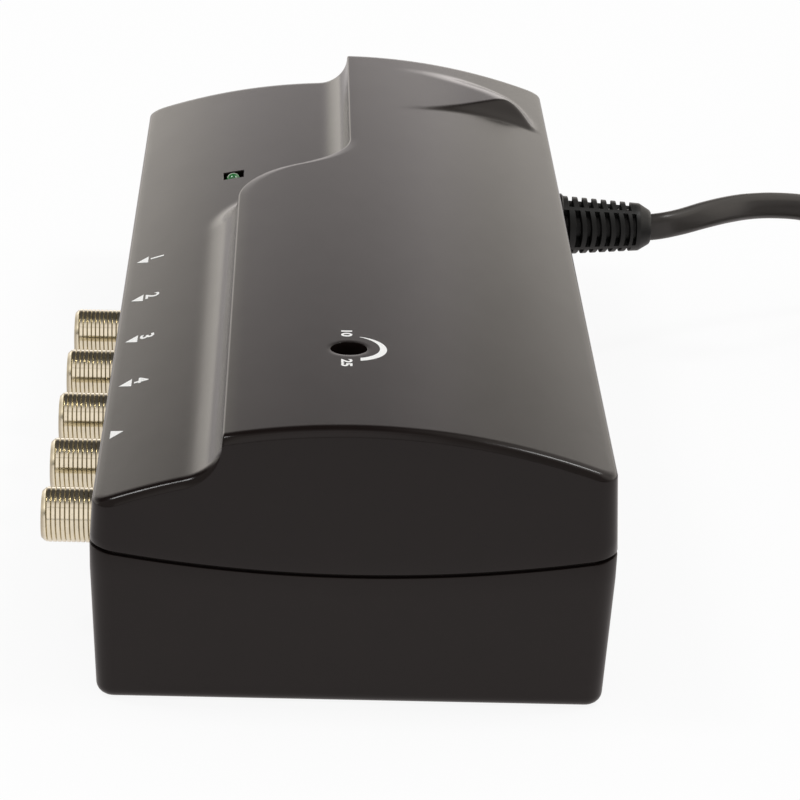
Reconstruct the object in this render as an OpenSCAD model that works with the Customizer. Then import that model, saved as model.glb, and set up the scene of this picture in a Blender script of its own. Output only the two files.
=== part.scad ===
// Mains-powered aerial signal amplifier: one input, four outputs, gain set through the cover.
// Millimetres. Origin under the middle of the base, +X to the cord side, +Y to the far end, +Z up.

/* [Case] */
// Width at the parting line
case_width = 86; // [84:0.5:92]
// Length at the parting line
case_length = 220; // [200:1:246]
// Height of the crown over the underside
case_height = 49; // [45:0.5:54]
// Wall thickness
wall = 2.3; // [2:0.1:2.5]
// Radius of the upright corners
corner_r = 4.2; // [3.5:0.1:6]
// Draft of the outer walls in degrees
draft = 3; // [1:0.5:3.5]
// Radius of the arched top
arch_r = 120; // [108:1:160]
// Height of the parting line on the long sides
part_z = 27.8; // [26:0.1:29]
// Dip of the parting line in the middle of the ends
part_dip = 3.9; // [2:0.1:4.5]
// Height of the dark line between base and cover
seam_gap = 0.6; // [0.3:0.1:0.8]

/* [Step] */
// Height of the raised panel over the shelf
step_height = 6.2; // [5:0.1:6.5]
// Width of the hollow foot of the step
step_foot = 6; // [4:0.5:7]
// Edge of the raised panel left of the middle, near part
step_near = 21.7; // [20:0.1:23]
// Radius of both bends of the edge
step_curve = 18; // [16:0.5:20]
// Start of the bends from the far end
step_start = 95.5; // [94:0.5:98]

/* [Sockets] */
// Spacing of the sockets
port_pitch = 22; // [20:0.5:22]
// First socket from the near end
port_first = 31.5; // [30:0.5:34]
// Height of the socket axes
port_z = 19.8; // [19.5:0.1:20.5]
// Outside diameter of the thread
port_d = 9.44; // [9.3:0.02:9.5]
// Length of thread outside the wall
port_reach = 9.7; // [8:0.1:11]

/* [Gain] */
// Hole from the near end
gain_from_end = 37.5; // [34:0.5:38]
// Diameter of the hole
gain_hole_d = 6.2; // [6:0.1:7]
// Diameter of the turned spindle
spindle_d = 5.2; // [4.6:0.1:5.4]

/* [Cord] */
// Width of the flat cord
cord_width = 5.6; // [5:0.1:6]
// Thickness of the flat cord
cord_thick = 3.4; // [3:0.1:3.5]
// Middle radius of the outer turn of the coil
coil_r = 37.5; // [36:0.5:38]
// Length of the strain relief outside the wall
relief_reach = 20; // [18:0.5:22]

/* [Hidden] */
$fn = 64;
thin = 0.02;
cut = 1;
play = 0.05;
port_names = ["ant", "tv1", "tv2", "tv3", "tv4"];

half_w = case_width / 2;
half_l = case_length / 2;
part_mid = part_z - part_dip;
part_r = (half_w * half_w + part_dip * part_dip) / (2 * part_dip);
seam_depth = 0.9;
foot_round = 2;
foot_ease = 0.3;
floor_t = 2.4;

// Raised panel: the edge runs straight, bends right, bends back and runs on along the middle
step_angle = acos(1 - step_near / (2 * step_curve));
step_run = 2 * step_curve * sin(step_angle);
step_y = half_l - step_start;
bend_steps = 7;
cove_steps = 6;
shelf_steps = 5;
panel_steps = 12;
side = half_w + cut;
end_y = half_l + 3 * cut;

// Wedge-shaped bulge at the far right of the raised panel
bulge_ends = [13, 34.5, 22.5];
bulge_far = [19, half_l - bulge_ends[0]];
bulge_near = [20, half_l - bulge_ends[1]];
bulge_nose = [32, half_l - bulge_ends[2]];
bulge_sink = 0.38;
bulge_top = arch(bulge_far.x) - bulge_sink;
bulge_slope = [9.2, 0.6, -6.2];

// Fixing pillars and their screws
pillar_inset = [9, 10];
pillar = [half_w, half_l] - pillar_inset;
pillar_r = 4;
boss_r = 3.6;
post_sides = 24;
corners = [[-1, -1], [1, -1], [1, 1], [-1, 1]];
head_t = 1.8;
head_slot = 0.8;
head_slot_depth = 0.9;
cover_screw_r = 1.2;
cover_head_r = 2.9;
cover_screw_way = 1.8;
screw_well = 9;
well_room = 0.4;
boss_cap = 1;
screw_top = arch(pillar.x) - step_height - wall - boss_cap;
small_screw_r = 1.15;
small_screw_way = 1.7;
small_head_r = 2.6;

// Wall hooks under the base
keyhole_r = 4;
keyhole_slot_r = 2.1;
keyhole_run = 8;
keyhole_y = 60;

// Mains transformer, as tall as the room under the shelf allows
strap_t = 1;
strap_w = 10;
strap_out = 6.5;
strap_end = 4;
head_room = 2;
core_w = 36;
core_d = 17;
core_inset = [35, 27];
core_low = 7;
core_at = [half_w - core_inset.x, half_l - core_inset.y, core_low];
core_top = arch(core_at.x - core_w / 2 - strap_t) - step_height - wall - head_room - strap_t;
core = [core_w, core_d, core_top - core_at.z];
core_rib = 3;
leg = core.x / 3;
window = [core.x / 6, core.z - leg];
strap_foot = core.x / 2 + strap_out;
strap_screw_len = 4;
bobbin_t = 0.9;
bobbin_play = 0.1;
bobbin_room = 0.3;
winding_room = 1;
winding_near = core_at.y - core.y / 2 - window.x;

// Circuit board between the near end and the transformer's leads
board_z = 9.4;
board_t = 1.6;
board_top = board_z + board_t;
board_end = 16;
lead_room = 12.5;
board_near = -half_l + board_end;
board_far = winding_near - lead_room;
board_left_gap = 4.6;
board_right_gap = 6;
board_left = -half_w + board_left_gap;
board_right = half_w - board_right_gap;
board_post_r = 3.4;
board_screw_in = 12;
board_screw_end = 6;
board_screw_len = 7.4;
board_screw_y = [board_near + board_screw_end, board_far - board_screw_end];
board_holes = [for (y = board_screw_y) for (s = [-1, 1]) [s * (half_w - board_screw_in), y]];

// Sockets: thread outside, a neck through the wall, a block on the board
port_r = port_d / 2;
port_thread_gap = 0.2;
port_neck_r = 4.2;
port_bore_r = 3.3;
port_hole_gap = 0.35;
port_pin_r = 0.7;
port_pin_bore_r = 0.42;
port_pin_bore = 8;
port_block = 13;
port_collar = 2;
port_depth = 17;
port_wall_gap = 0.8;
port_back = -half_w + port_depth;
port_inner = -half_w + wall + port_wall_gap;
port_tip = -half_w - port_reach;
port_face_in = 0.8;
port_face = port_tip + port_face_in;
contact_in = 2;
contact_out = 2;
function port_y(i) = -half_l + port_first + i * port_pitch;

// Gain control
gain_x = -1.2;
gain_at = [gain_x, -half_l + gain_from_end];
gain_sleeve_wall = 1.5;
gain_sleeve_r = gain_hole_d / 2 + gain_sleeve_wall;
gain_sleeve_depth = 6;
gain_sleeve_z = case_height - gain_sleeve_depth;
spindle_r = spindle_d / 2;
spindle_below = 0.6;
spindle_top = gain_sleeve_z - spindle_below;
pot_size = [10, 11, 6];
pot_bush = 9;
pot_bush_wall = 1.6;
pot_play = 0.3;
spindle_foot = 7.3;
spindle_low = board_top + spindle_foot;
spindle_slot = [1, 1.8];

// Lamp in its slot, just past the bends of the step
lamp_side = 19.8;
lamp_past = 0.1;
lamp_at = [-half_w + lamp_side, step_y + step_run + lamp_past];
lamp_slot = [4, 7.4];
lamp_r = 1.5;
lamp_rim = 0.4;
lamp_rim_t = 1;
lamp_len = 5.2;
lamp_dome = 1.2;
lamp_stand = 0.7;
lamp_z = arch(lamp_at.x) - step_height;

// Power supply at the far part of the board, counted from its edge
fuse_inset = [33, 9];
fuse_at = [board_right - fuse_inset.x, board_far - fuse_inset.y];
fuse_len = 20;
fuse_r = 2.6;
fuse_rise = 4.2;
fuse_over = 1.5;
clip = [4, 6.4, 7];
clip_mouth = 4;
supply_inset = 28;
supply_y = board_far - supply_inset;
rectifier_x = -4;
rectifier = [4.6, 5.5];
capacitor_x = 14;
capacitor = [6.4, 20];
regulator_inset = [11, 40];
regulator_rise = 3;
regulator_at = [board_right - regulator_inset.x, board_far - regulator_inset.y, regulator_rise];
regulator = [4.4, 10, 15];
sink = [1.6, 20, 19];
sink_fin = 5;
sink_fins = 3;
sink_y = regulator_at.y + (regulator.y - sink.y) / 2;

// Screening can between the sockets' end and the supply
shield_end = 48;
shield_x = -14;
shield_gap = 3;
shield_at = [shield_x, -half_l + shield_end];
shield_size = [42, sink_y - shield_gap - shield_at.y, 13];
shield_t = 0.6;
transistor = [5, 4.5, 1.6];
transistor_at = [20, 14];
ferrite = [7, 8, 5];
ferrite_x = 8;
ferrite_bore_r = 0.9;
ferrite_bores = 3;

// Strain relief, slotted in turn from the sides and from above and below
relief_end = 51;
relief_at = [half_w, half_l - relief_end, part_z];
relief_tip = half_w + relief_reach;
relief_neck_r = 4.4;
relief_hole_r = 4.6;
relief_hole = 8;
relief_inner_r = 6.2;
relief_inner_t = 2;
relief_inner_gap = 0.6;
relief_gap = 0.3;
relief_flange = [6.5, 1.4];
relief_big_r = 6.1;
relief_small_r = 4.9;
relief_core_r = 3.6;
relief_tip_r = 3.4;
relief_nose = 2.4;
relief_slots = 8;
relief_slot = 0.9;
relief_first = 1.7;
relief_fan = 40;
relief_turn = 9;
relief_bore_r = 2.6;
relief_bore = 4;
relief_pitch = (relief_reach - relief_nose - relief_first) / relief_slots;

// Inner leads, one above the other
lead_r = 1.1;
lead_apart = 1.35;
lead_in = 1.5;
lead_start = half_w - wall - lead_in;
lead_stop = 0.3;
lead_runs = [6, 11, 15, 18];
lead_drop = [1.2, 2.4, 3];
lead_side = [3, 3.3];

// Cord: section, route by hand, coil by a formula
cord_rise = cord_width / 2;
half_t = cord_thick / 2;
tie_t = 0.8;
tie_room = 0.5;
tie_width = 8;
tie_low = 0.05;
floor_gap = 0.3;
coil_at = [142, 58];
coil_low = cord_rise + tie_t + floor_gap;
coil_pitch = 5;
coil_layer_gap = 0.8;
coil_layer = cord_width + coil_layer_gap;
coil_in_turns = 2.5;
coil_climb = 0.5;
coil_out_turns = 2.25;
coil_draw = 2;
coil_rings = 24;
coil_turns = coil_in_turns + coil_climb + coil_out_turns;
coil_inner_r = coil_r - coil_pitch * coil_in_turns;
coil_end_r = coil_inner_r + coil_pitch * coil_out_turns;
coil_start = [coil_at.x, coil_at.y + coil_r, coil_low];
coil_end = [coil_at.x + coil_end_r, coil_at.y, coil_low + coil_layer];
cord_route = [[relief_tip, relief_at.y, part_z], [relief_tip + 3, relief_at.y + 0.5, part_z + 0.3],
    [70, 61.8, 28.3], [75, 65.2, 28.7], [80, 69, 28.7], [85, 72.8, 28.3], [91, 76.4, 27.5], [98, 80.2, 25.9],
    [104, 83.4, 23.2], [110, 86.6, 19.2], [115, 89.2, 14.6], [120, 91.8, 9.6], [125, 94, 5.8],
    [coil_start.x - 2 * cord_width, coil_start.y, coil_low]];

// Plug: half widths and distances from its cord end
plug_side = [[7, 0], [8.5, 6], [10.5, 14], [13, 26.3], [13, 35.3]];
plug_len = plug_side[4].y;
plug_low = 0.15;
plug_t = 13.7;
plug_at = [coil_end.x, 16, plug_low + plug_t / 2];
plug_neck = 12;
plug_neck_r = [4.4, 6];
plug_grip = 4;
plug_pin_r = 2;
plug_pin_gap = 18.6;
plug_pin_len = 19;
tail_end = plug_at + [0, plug_neck - plug_grip, 0];
tail_route = [[coil_end.x, coil_end.y - 2 * cord_width, coil_end.z], [coil_end.x, 41, 9.4],
    [coil_end.x, 35, 7.9], tail_end + [0, cord_width, 0], tail_end];

// Surface of the arched top at a distance from the middle
function arch(x) = case_height - arch_r + sqrt(arch_r * arch_r - x * x);
// How far the outer wall has drawn in at a height
function shrink(z) = max(0, part_mid - z, z - part_z) * tan(draft);

// Edge and foot of the step at station k, moved into the panel by inset
function bend_centre(k) =
    k <= bend_steps ? [-step_near + step_curve, step_y] : [-step_curve, step_y + step_run];
function bend_way(k) =
    let (t = step_angle * (k <= bend_steps ? k : 2 * bend_steps - k) / bend_steps)
    k <= bend_steps ? [-cos(t), sin(t)] : [cos(t), -sin(t)];
function bend_point(k, out) =
    bend_centre(k) + bend_way(k) * (step_curve + (k <= bend_steps ? out : -out));
function step_edge(k, inset) = bend_point(k, -inset);
function step_foot_at(k, inset) = bend_point(k, step_foot - inset);

// One row of points across the top, with the hollow foot between shelf and panel
function top_row(k, y_move, inset) =
    let (edge = step_edge(k, inset) + [0, y_move])
    let (foot = step_foot_at(k, inset) + [0, y_move])
    concat(
        [for (j = [0:shelf_steps - 1])
            let (x = -side + (foot.x + side) * j / shelf_steps)
            [x, foot.y, arch(x) - step_height - inset]],
        [for (j = [0:cove_steps])
            let (p = foot + (edge - foot) * sin(90 * j / cove_steps))
            [p.x, p.y, arch(p.x) - step_height * cos(90 * j / cove_steps) - inset]],
        [for (j = [1:panel_steps])
            let (x = edge.x + (side - edge.x) * j / panel_steps)
            [x, edge.y, arch(x) - inset]]);

// Two triangles for each cell of a grid of points
function cell(a, b, c, d) = [[a, b, c], [a, c, d]];

// Block under the whole top surface
module top_form(inset) {
    last = 2 * bend_steps;
    rows = concat([top_row(0, -step_y - end_y, inset)],
        [for (k = [0:last]) top_row(k, 0, inset)],
        [top_row(last, end_y - step_y - step_run, inset)]);
    n = len(rows[0]);
    m = len(rows);
    base = [for (c = corners) [c.x * side, c.y * end_y, part_mid - 3 * cut]];
    b = n * m;
    skin = [for (i = [0:m - 2]) for (j = [0:n - 2])
        each cell(i * n + j, (i + 1) * n + j, (i + 1) * n + j + 1, i * n + j + 1)];
    near_face = concat([for (j = [0:n - 1]) j], [b + 1, b]);
    far_face = concat([for (j = [n - 1:-1:0]) (m - 1) * n + j], [b + 3, b + 2]);
    left_face = concat([for (i = [m - 1:-1:0]) i * n], [b, b + 3]);
    right_face = concat([for (i = [0:m - 1]) i * n + n - 1], [b + 2, b + 1]);
    walls = [near_face, far_face, left_face, right_face, [b, b + 1, b + 2, b + 3]];
    polyhedron(concat([for (r = rows) each r], base), concat(skin, walls), 4);
}

// Slice of the walled outline at a height, moved in by inset
module outline_slice(z, inset, above) {
    r = max(corner_r - inset, 1);
    for (c = corners)
        translate([c.x * (half_w - inset - shrink(z) - r), c.y * (half_l - inset - shrink(z) - r), above])
            cylinder(r = r, h = thin, $fn = 32);
}

// Space inside the parting surface, which dips along both ends
module parting(extra) {
    translate([0, 0, part_mid + part_r])
        rotate([90, 0, 0])
            cylinder(r = part_r + extra, h = 2 * end_y, center = true, $fn = 256);
}

module cover_block(inset, low) {
    hull() {
        outline_slice(part_mid, inset, low);
        outline_slice(part_z, inset, part_z);
        outline_slice(case_height, inset, case_height + 2 * cut);
    }
}

module base_block(inset, low, high) {
    hull() {
        outline_slice(low, inset + (low == 0 ? foot_round : 0), low);
        if (low == 0)
            outline_slice(0, inset + foot_round * foot_ease, foot_round * foot_ease);
        outline_slice(foot_round, inset, foot_round + low);
        outline_slice(part_mid, inset, part_mid);
        outline_slice(part_z, inset, high);
    }
}

// Wedge with a level top that comes out of the arch as it falls away
module bulge() {
    top = [for (p = [bulge_far, bulge_near, bulge_nose]) [p.x, p.y, bulge_top]];
    low = [for (p = top) p + bulge_slope];
    polyhedron(concat(top, low),
        [[0, 2, 1], [3, 4, 5], [0, 1, 4], [0, 4, 3], [1, 2, 5], [1, 5, 4], [2, 0, 3], [2, 3, 5]], 3);
}

module along_x(at, r, h) {
    translate(at)
        rotate([0, 90, 0])
            cylinder(r = r, h = h);
}

module upright(at, z, r, h) {
    translate([at.x, at.y, z])
        cylinder(r = r, h = h);
}

module at_pillars() {
    for (c = corners)
        translate([c.x * pillar.x, c.y * pillar.y, 0])
            children();
}

module at_strap_feet() {
    for (s = [-1, 1])
        translate([core_at.x + s * strap_foot, core_at.y, 0])
            children();
}

module relief_opening() {
    along_x([half_w - relief_hole, relief_at.y, relief_at.z], relief_hole_r, relief_hole + 4 * cut);
}

// Walls, arched top and bosses of the cover, meshed as one shell
module cover_shell() {
    resize([0, 0, 0])
        difference() {
            intersection() {
                union() {
                    intersection() {
                        cover_block(0, part_mid - cut);
                        top_form(0);
                    }
                    bulge();
                }
                parting(0);
            }
            difference() {
                intersection() {
                    cover_block(wall, part_mid - 2 * cut);
                    top_form(wall);
                }
                at_pillars()
                    cylinder(r = boss_r, h = case_height, $fn = post_sides);
                upright(gain_at, gain_sleeve_z, gain_sleeve_r, case_height, $fn = post_sides);
            }
        }
}

module top_cover() {
    color([0.13, 0.12, 0.12])
        difference() {
            cover_shell();
            at_pillars()
                cylinder(r = cover_screw_r + play, h = screw_top);
            upright(gain_at, gain_sleeve_z - cut, gain_hole_d / 2, gain_sleeve_depth + 3 * cut);
            translate([lamp_at.x, lamp_at.y, lamp_z])
                cube([lamp_slot.x, lamp_slot.y, 4 * wall], center = true);
            relief_opening();
        }
}

module keyhole(y) {
    translate([0, y, -cut]) {
        cylinder(r = keyhole_r, h = floor_t + 2 * cut);
        translate([0, keyhole_run, 0])
            cylinder(r = keyhole_slot_r, h = floor_t + 2 * cut);
        translate([-keyhole_slot_r, 0, 0])
            cube([2 * keyhole_slot_r, keyhole_run, floor_t + 2 * cut]);
    }
}

// Walls, floor and posts of the base, meshed as one shell
module base_shell() {
    resize([0, 0, 0])
        difference() {
            base_block(0, 0, part_z + cut / 2);
            difference() {
                base_block(wall, floor_t, part_z + 3 * cut);
                at_pillars()
                    cylinder(r = pillar_r, h = part_z + 3 * cut, $fn = post_sides);
                for (p = board_holes)
                    upright(p, 0, board_post_r, board_z, $fn = post_sides);
                at_strap_feet()
                    cylinder(r = board_post_r, h = core_at.z - strap_t, $fn = post_sides);
                for (s = [-1, 1])
                    translate([core_at.x + s * leg - core_rib / 2, core_at.y - core.y / 2, 0])
                        cube([core_rib, core.y, core_at.z]);
            }
            parting(0);
            difference() {
                parting(seam_gap);
                base_block(seam_depth, floor_t, part_z + 3 * cut);
            }
        }
}

module base_tray() {
    color([0.15, 0.14, 0.13])
        difference() {
            base_shell();
            at_pillars()
                translate([0, 0, -cut]) {
                    cylinder(r = cover_screw_way, h = part_z + 2 * cut);
                    cylinder(r = cover_head_r + well_room, h = screw_well + cut);
                }
            for (p = board_holes)
                upright(p, floor_t, small_screw_r + play, board_z);
            at_strap_feet()
                upright([0, 0], floor_t, small_screw_r + play, core_at.z);
            for (i = [0:len(port_names) - 1])
                along_x([-half_w - 2 * cut, port_y(i), port_z], port_r + port_hole_gap, wall + 4 * cut);
            for (s = [-1, 1])
                keyhole(s * keyhole_y);
            relief_opening();
        }
}

// Slotted screw with its head below, or above when the way is down
module screw(at, length, r, head_r, way) {
    color([0.75, 0.75, 0.72])
        translate(at)
            mirror([0, 0, way > 0 ? 0 : 1])
                difference() {
                    union() {
                        cylinder(r = head_r, h = head_t);
                        cylinder(r = r, h = length + head_t);
                    }
                    translate([-head_r, -head_slot / 2, -cut])
                        cube([2 * head_r, head_slot, cut + head_slot_depth]);
                }
}

module cover_screw(i) {
    screw([corners[i].x * pillar.x, corners[i].y * pillar.y, screw_well - head_t],
        screw_top - cut - screw_well, cover_screw_r, cover_head_r, 1);
}

module board_screw(i) {
    screw([board_holes[i].x, board_holes[i].y, board_top + head_t],
        board_screw_len, small_screw_r, small_head_r, -1);
}

module strap_screw(i) {
    screw([core_at.x + (i == 0 ? -1 : 1) * strap_foot, core_at.y, core_at.z + head_t],
        strap_screw_len, small_screw_r, small_head_r, -1);
}

module main_board() {
    color([0.1, 0.35, 0.18])
        difference() {
            translate([board_left, board_near, board_z])
                cube([board_right - board_left, board_far - board_near, board_t]);
            for (p = board_holes)
                upright(p, board_z - cut, small_screw_way, board_t + 2 * cut);
        }
}

// Barrel with its collar and block, bored through
module socket(i) {
    block_x = port_inner + port_collar / 2;
    color([0.78, 0.74, 0.66])
        difference() {
            union() {
                along_x([port_tip, port_y(i), port_z], port_r, port_reach - port_thread_gap);
                along_x([port_tip + cut, port_y(i), port_z], port_neck_r, port_inner - port_tip);
                along_x([port_inner, port_y(i), port_z], port_block / 2, port_collar);
                translate([block_x, port_y(i) - port_block / 2, board_top])
                    cube([port_back - block_x, port_block, port_z + port_block / 2 - board_top]);
            }
            along_x([port_tip - cut, port_y(i), port_z], port_bore_r, port_back - port_tip + 2 * cut);
        }
}

module insulator(i) {
    color([0.9, 0.9, 0.86])
        difference() {
            along_x([port_face, port_y(i), port_z], port_bore_r, port_back - port_face);
            along_x([port_tip, port_y(i), port_z], port_pin_r, port_back - port_tip + cut);
        }
}

// Spring contact inside the insulator, with its tail down to the board
module contact(i) {
    tail_x = port_back + contact_out - port_pin_r;
    color([0.8, 0.65, 0.3])
        difference() {
            union() {
                along_x([port_tip + contact_in, port_y(i), port_z], port_pin_r,
                    port_back - port_tip - contact_in + contact_out);
                upright([tail_x, port_y(i)], board_top, port_pin_r, port_z - board_top);
            }
            along_x([port_tip + contact_in - cut, port_y(i), port_z], port_pin_bore_r, port_pin_bore);
        }
}

module gain_pot_body() {
    color([0.12, 0.2, 0.42])
        difference() {
            union() {
                translate([gain_at.x - pot_size.x / 2, gain_at.y - pot_size.y / 2, board_top])
                    cube(pot_size);
                upright(gain_at, board_top, spindle_r + pot_bush_wall, pot_bush);
            }
            upright(gain_at, spindle_low - pot_play, spindle_r + pot_play, pot_bush);
        }
}

// Spindle with a screwdriver slot, reached through the hole in the cover
module gain_adjuster() {
    color([0.08, 0.08, 0.08])
        difference() {
            upright(gain_at, spindle_low, spindle_r, spindle_top - spindle_low);
            translate([gain_at.x - spindle_slot.x / 2, gain_at.y - spindle_d, spindle_top - spindle_slot.y])
                cube([spindle_slot.x, 2 * spindle_d, spindle_slot.y + cut]);
        }
}

module power_led() {
    color([0.2, 0.6, 0.25]) {
        upright(lamp_at, lamp_z - lamp_len, lamp_r + lamp_rim, lamp_rim_t);
        upright(lamp_at, lamp_z - lamp_len, lamp_r, lamp_len - lamp_dome);
        translate([lamp_at.x, lamp_at.y, lamp_z - lamp_dome])
            sphere(r = lamp_r);
    }
}

module led_spacer() {
    color([0.85, 0.85, 0.82])
        upright(lamp_at, board_top, lamp_r + lamp_stand, lamp_z - lamp_len - board_top);
}

module shield_frame() {
    color([0.7, 0.72, 0.74])
        translate([shield_at.x, shield_at.y, board_top])
            difference() {
                cube(shield_size);
                translate([shield_t, shield_t, -cut])
                    cube(shield_size + [-2 * shield_t, -2 * shield_t, 2 * cut]);
            }
}

module shield_lid() {
    color([0.74, 0.76, 0.78])
        translate([shield_at.x, shield_at.y, board_top + shield_size.z])
            cube([shield_size.x, shield_size.y, shield_t]);
}

module amplifier_transistor() {
    color([0.1, 0.1, 0.11])
        translate([shield_at.x + transistor_at.x, shield_at.y + transistor_at.y, board_top])
            cube(transistor);
}

// Two-hole core that splits the signal
module ferrite_splitter(i) {
    color([0.25, 0.24, 0.24])
        translate([shield_at.x + ferrite_x, shield_at.y + shield_size.y * (i + 1) / 3, board_top])
            difference() {
                cube(ferrite);
                for (s = [-1, 1])
                    translate([(ferrite.x + s * ferrite_bores) / 2, -cut, ferrite.z / 2])
                        rotate([-90, 0, 0])
                            cylinder(r = ferrite_bore_r, h = ferrite.y + 2 * cut);
            }
}

module bridge_rectifier() {
    color([0.09, 0.09, 0.1])
        upright([rectifier_x, supply_y], board_top, rectifier[0], rectifier[1]);
}

module reservoir_capacitor() {
    color([0.15, 0.2, 0.5])
        upright([capacitor_x, supply_y], board_top, capacitor[0], capacitor[1]);
}

module voltage_regulator() {
    color([0.1, 0.1, 0.1])
        translate([regulator_at.x - regulator.x, regulator_at.y, board_top + regulator_at.z])
            cube(regulator);
}

module heat_sink() {
    color([0.75, 0.76, 0.78])
        translate([regulator_at.x, sink_y, board_top]) {
            cube(sink);
            for (i = [0:sink_fins - 1])
                translate([sink.x / 2, i * (sink.y - sink.x) / (sink_fins - 1), 0])
                    cube([sink_fin, sink.x, sink.z]);
        }
}

// Pair of clips that hold the fuse by its caps
module fuse_holder() {
    color([0.8, 0.78, 0.7])
        for (x = [0, fuse_len + 2 * fuse_over - clip.x])
            translate([fuse_at.x + x, fuse_at.y, board_top])
                difference() {
                    translate([0, -clip.y / 2, 0])
                        cube(clip);
                    along_x([-cut, 0, fuse_rise], fuse_r + play, clip.x + 2 * cut);
                    translate([-cut, -clip_mouth / 2, fuse_rise])
                        cube([clip.x + 2 * cut, clip_mouth, clip.z]);
                }
}

module mains_fuse() {
    color([0.85, 0.87, 0.86])
        along_x([fuse_at.x + fuse_over, fuse_at.y, board_top + fuse_rise], fuse_r, fuse_len);
}

module transformer_core() {
    color([0.32, 0.31, 0.3])
        translate([core_at.x - core.x / 2, core_at.y - core.y / 2, core_at.z])
            difference() {
                cube(core);
                for (x = [leg / 2, core.x - leg / 2 - window.x])
                    translate([x, -cut, leg / 2])
                        cube([window.x, core.y + 2 * cut, window.y]);
            }
}

// Sleeve round the middle leg, between two heights in the window
module winding_ring(inner, outer, low, high) {
    size = [leg, core.y];
    translate([core_at.x, core_at.y, core_at.z + leg / 2 + low])
        difference() {
            translate([-size.x / 2 - outer, -size.y / 2 - outer, 0])
                cube([size.x + 2 * outer, size.y + 2 * outer, high - low]);
            translate([-size.x / 2 - inner, -size.y / 2 - inner, -cut])
                cube([size.x + 2 * inner, size.y + 2 * inner, high - low + 2 * cut]);
        }
}

bobbin_inner = bobbin_play + bobbin_t;
bobbin_high = window.y - bobbin_play - bobbin_t;
bobbin_mid = (window.y - bobbin_t) / 2;
module transformer_bobbin() {
    color([0.88, 0.87, 0.82]) {
        winding_ring(bobbin_play, bobbin_inner, bobbin_play, window.y - bobbin_play);
        for (z = [bobbin_play, bobbin_mid, bobbin_high])
            winding_ring(bobbin_play, window.x - bobbin_room, z, z + bobbin_t);
    }
}

module primary_winding() {
    color([0.72, 0.4, 0.2])
        winding_ring(bobbin_inner, window.x - winding_room, bobbin_mid + bobbin_t, bobbin_high);
}

module secondary_winding() {
    color([0.75, 0.45, 0.22])
        winding_ring(bobbin_inner, window.x - winding_room, bobbin_inner, bobbin_mid);
}

// Steel strap over the core, with a foot on each side
module strap_plate(low, size) {
    translate([core_at.x + low.x, core_at.y - strap_w / 2, core_at.z + low.y])
        cube([size.x, strap_w, size.y]);
}

module transformer_strap() {
    half = core.x / 2;
    foot = strap_foot + strap_end - half;
    color([0.7, 0.7, 0.68])
        difference() {
            union() {
                strap_plate([-half - strap_t, core.z], [core.x + 2 * strap_t, strap_t]);
                for (x = [-half - strap_t, half])
                    strap_plate([x, -strap_t], [strap_t, core.z + strap_t]);
                for (x = [-half - foot, half])
                    strap_plate([x, -strap_t], [foot, strap_t]);
            }
            at_strap_feet()
                upright([0, 0], core_at.z - 2 * strap_t, small_screw_way, 3 * strap_t);
        }
}

// Two fans of a slot, cut from both sides down to the core
module relief_fans() {
    fan = relief_flange[0] + cut;
    difference() {
        for (s = [-1, 1])
            polygon([[0, 0], [fan * tan(relief_fan), s * fan], [-fan * tan(relief_fan), s * fan]]);
        circle(r = relief_core_r);
    }
}

// Tapered moulding that grips the wall and carries the cord
module strain_relief() {
    nose = relief_reach - relief_nose;
    color([0.1, 0.1, 0.1])
        translate([half_w, relief_at.y, relief_at.z])
            rotate([0, 90, 0])
                difference() {
                    union() {
                        translate([0, 0, -wall - relief_inner_gap - relief_inner_t])
                            cylinder(r = relief_inner_r, h = relief_inner_t);
                        translate([0, 0, -wall - cut])
                            cylinder(r = relief_neck_r, h = wall + 2 * cut);
                        translate([0, 0, relief_gap])
                            cylinder(r = relief_flange[0], h = relief_flange[1]);
                        translate([0, 0, relief_gap + cut])
                            cylinder(r1 = relief_big_r, r2 = relief_small_r, h = nose - relief_gap - cut);
                        translate([0, 0, nose])
                            cylinder(r1 = relief_small_r, r2 = relief_tip_r, h = relief_nose);
                    }
                    for (i = [0:2 * relief_slots - 2])
                        translate([0, 0, relief_first + relief_pitch * i / 2])
                            rotate([0, 0, 90 * (i % 2) - relief_turn])
                                linear_extrude(height = relief_slot)
                                    relief_fans();
                    translate([0, 0, -wall - relief_inner_gap - relief_inner_t - cut])
                        cylinder(r = relief_bore_r, h = relief_bore);
                }
}

// Tube swept along points, its section given across and along the upright
function unit(v) = v / norm(v);
function heading(path, i) = unit(path[min(i + 1, len(path) - 1)] - path[max(i - 1, 0)]);
function ring(path, i, section) =
    let (t = heading(path, i))
    let (s = unit(cross([0, 0, 1], t)))
    let (u = cross(t, s))
    [for (q = section) path[i] + q.x * s + q.y * u];

module tube(path, section) {
    n = len(section);
    m = len(path);
    points = [for (i = [0:m - 1]) each ring(path, i, section)];
    sides = [for (i = [0:m - 2]) for (j = [0:n - 1])
        each cell(i * n + j, (i + 1) * n + j, (i + 1) * n + (j + 1) % n, i * n + (j + 1) % n)];
    start = [for (j = [0:n - 1]) j];
    end = [for (j = [n - 1:-1:0]) (m - 1) * n + j];
    polyhedron(points, concat(sides, [start, end]), 4);
}

// Sections of the flat cord, of its coil with fewer sides, and of the inner leads
flat = cord_rise - half_t * 0.6;
side_flat = flat * 0.8;
edge_flat = half_t * 0.45;
cord_edge = [[half_t, side_flat], [edge_flat, cord_rise], [-edge_flat, cord_rise], [-half_t, side_flat]];
cord_section = concat(cord_edge, -cord_edge);
coil_edge = [[half_t, flat], [0, cord_rise], [-half_t, flat]];
coil_section = concat(coil_edge, -coil_edge);
round_section = [for (a = [0:45:315]) lead_r * [cos(a), sin(a)]];

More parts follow.
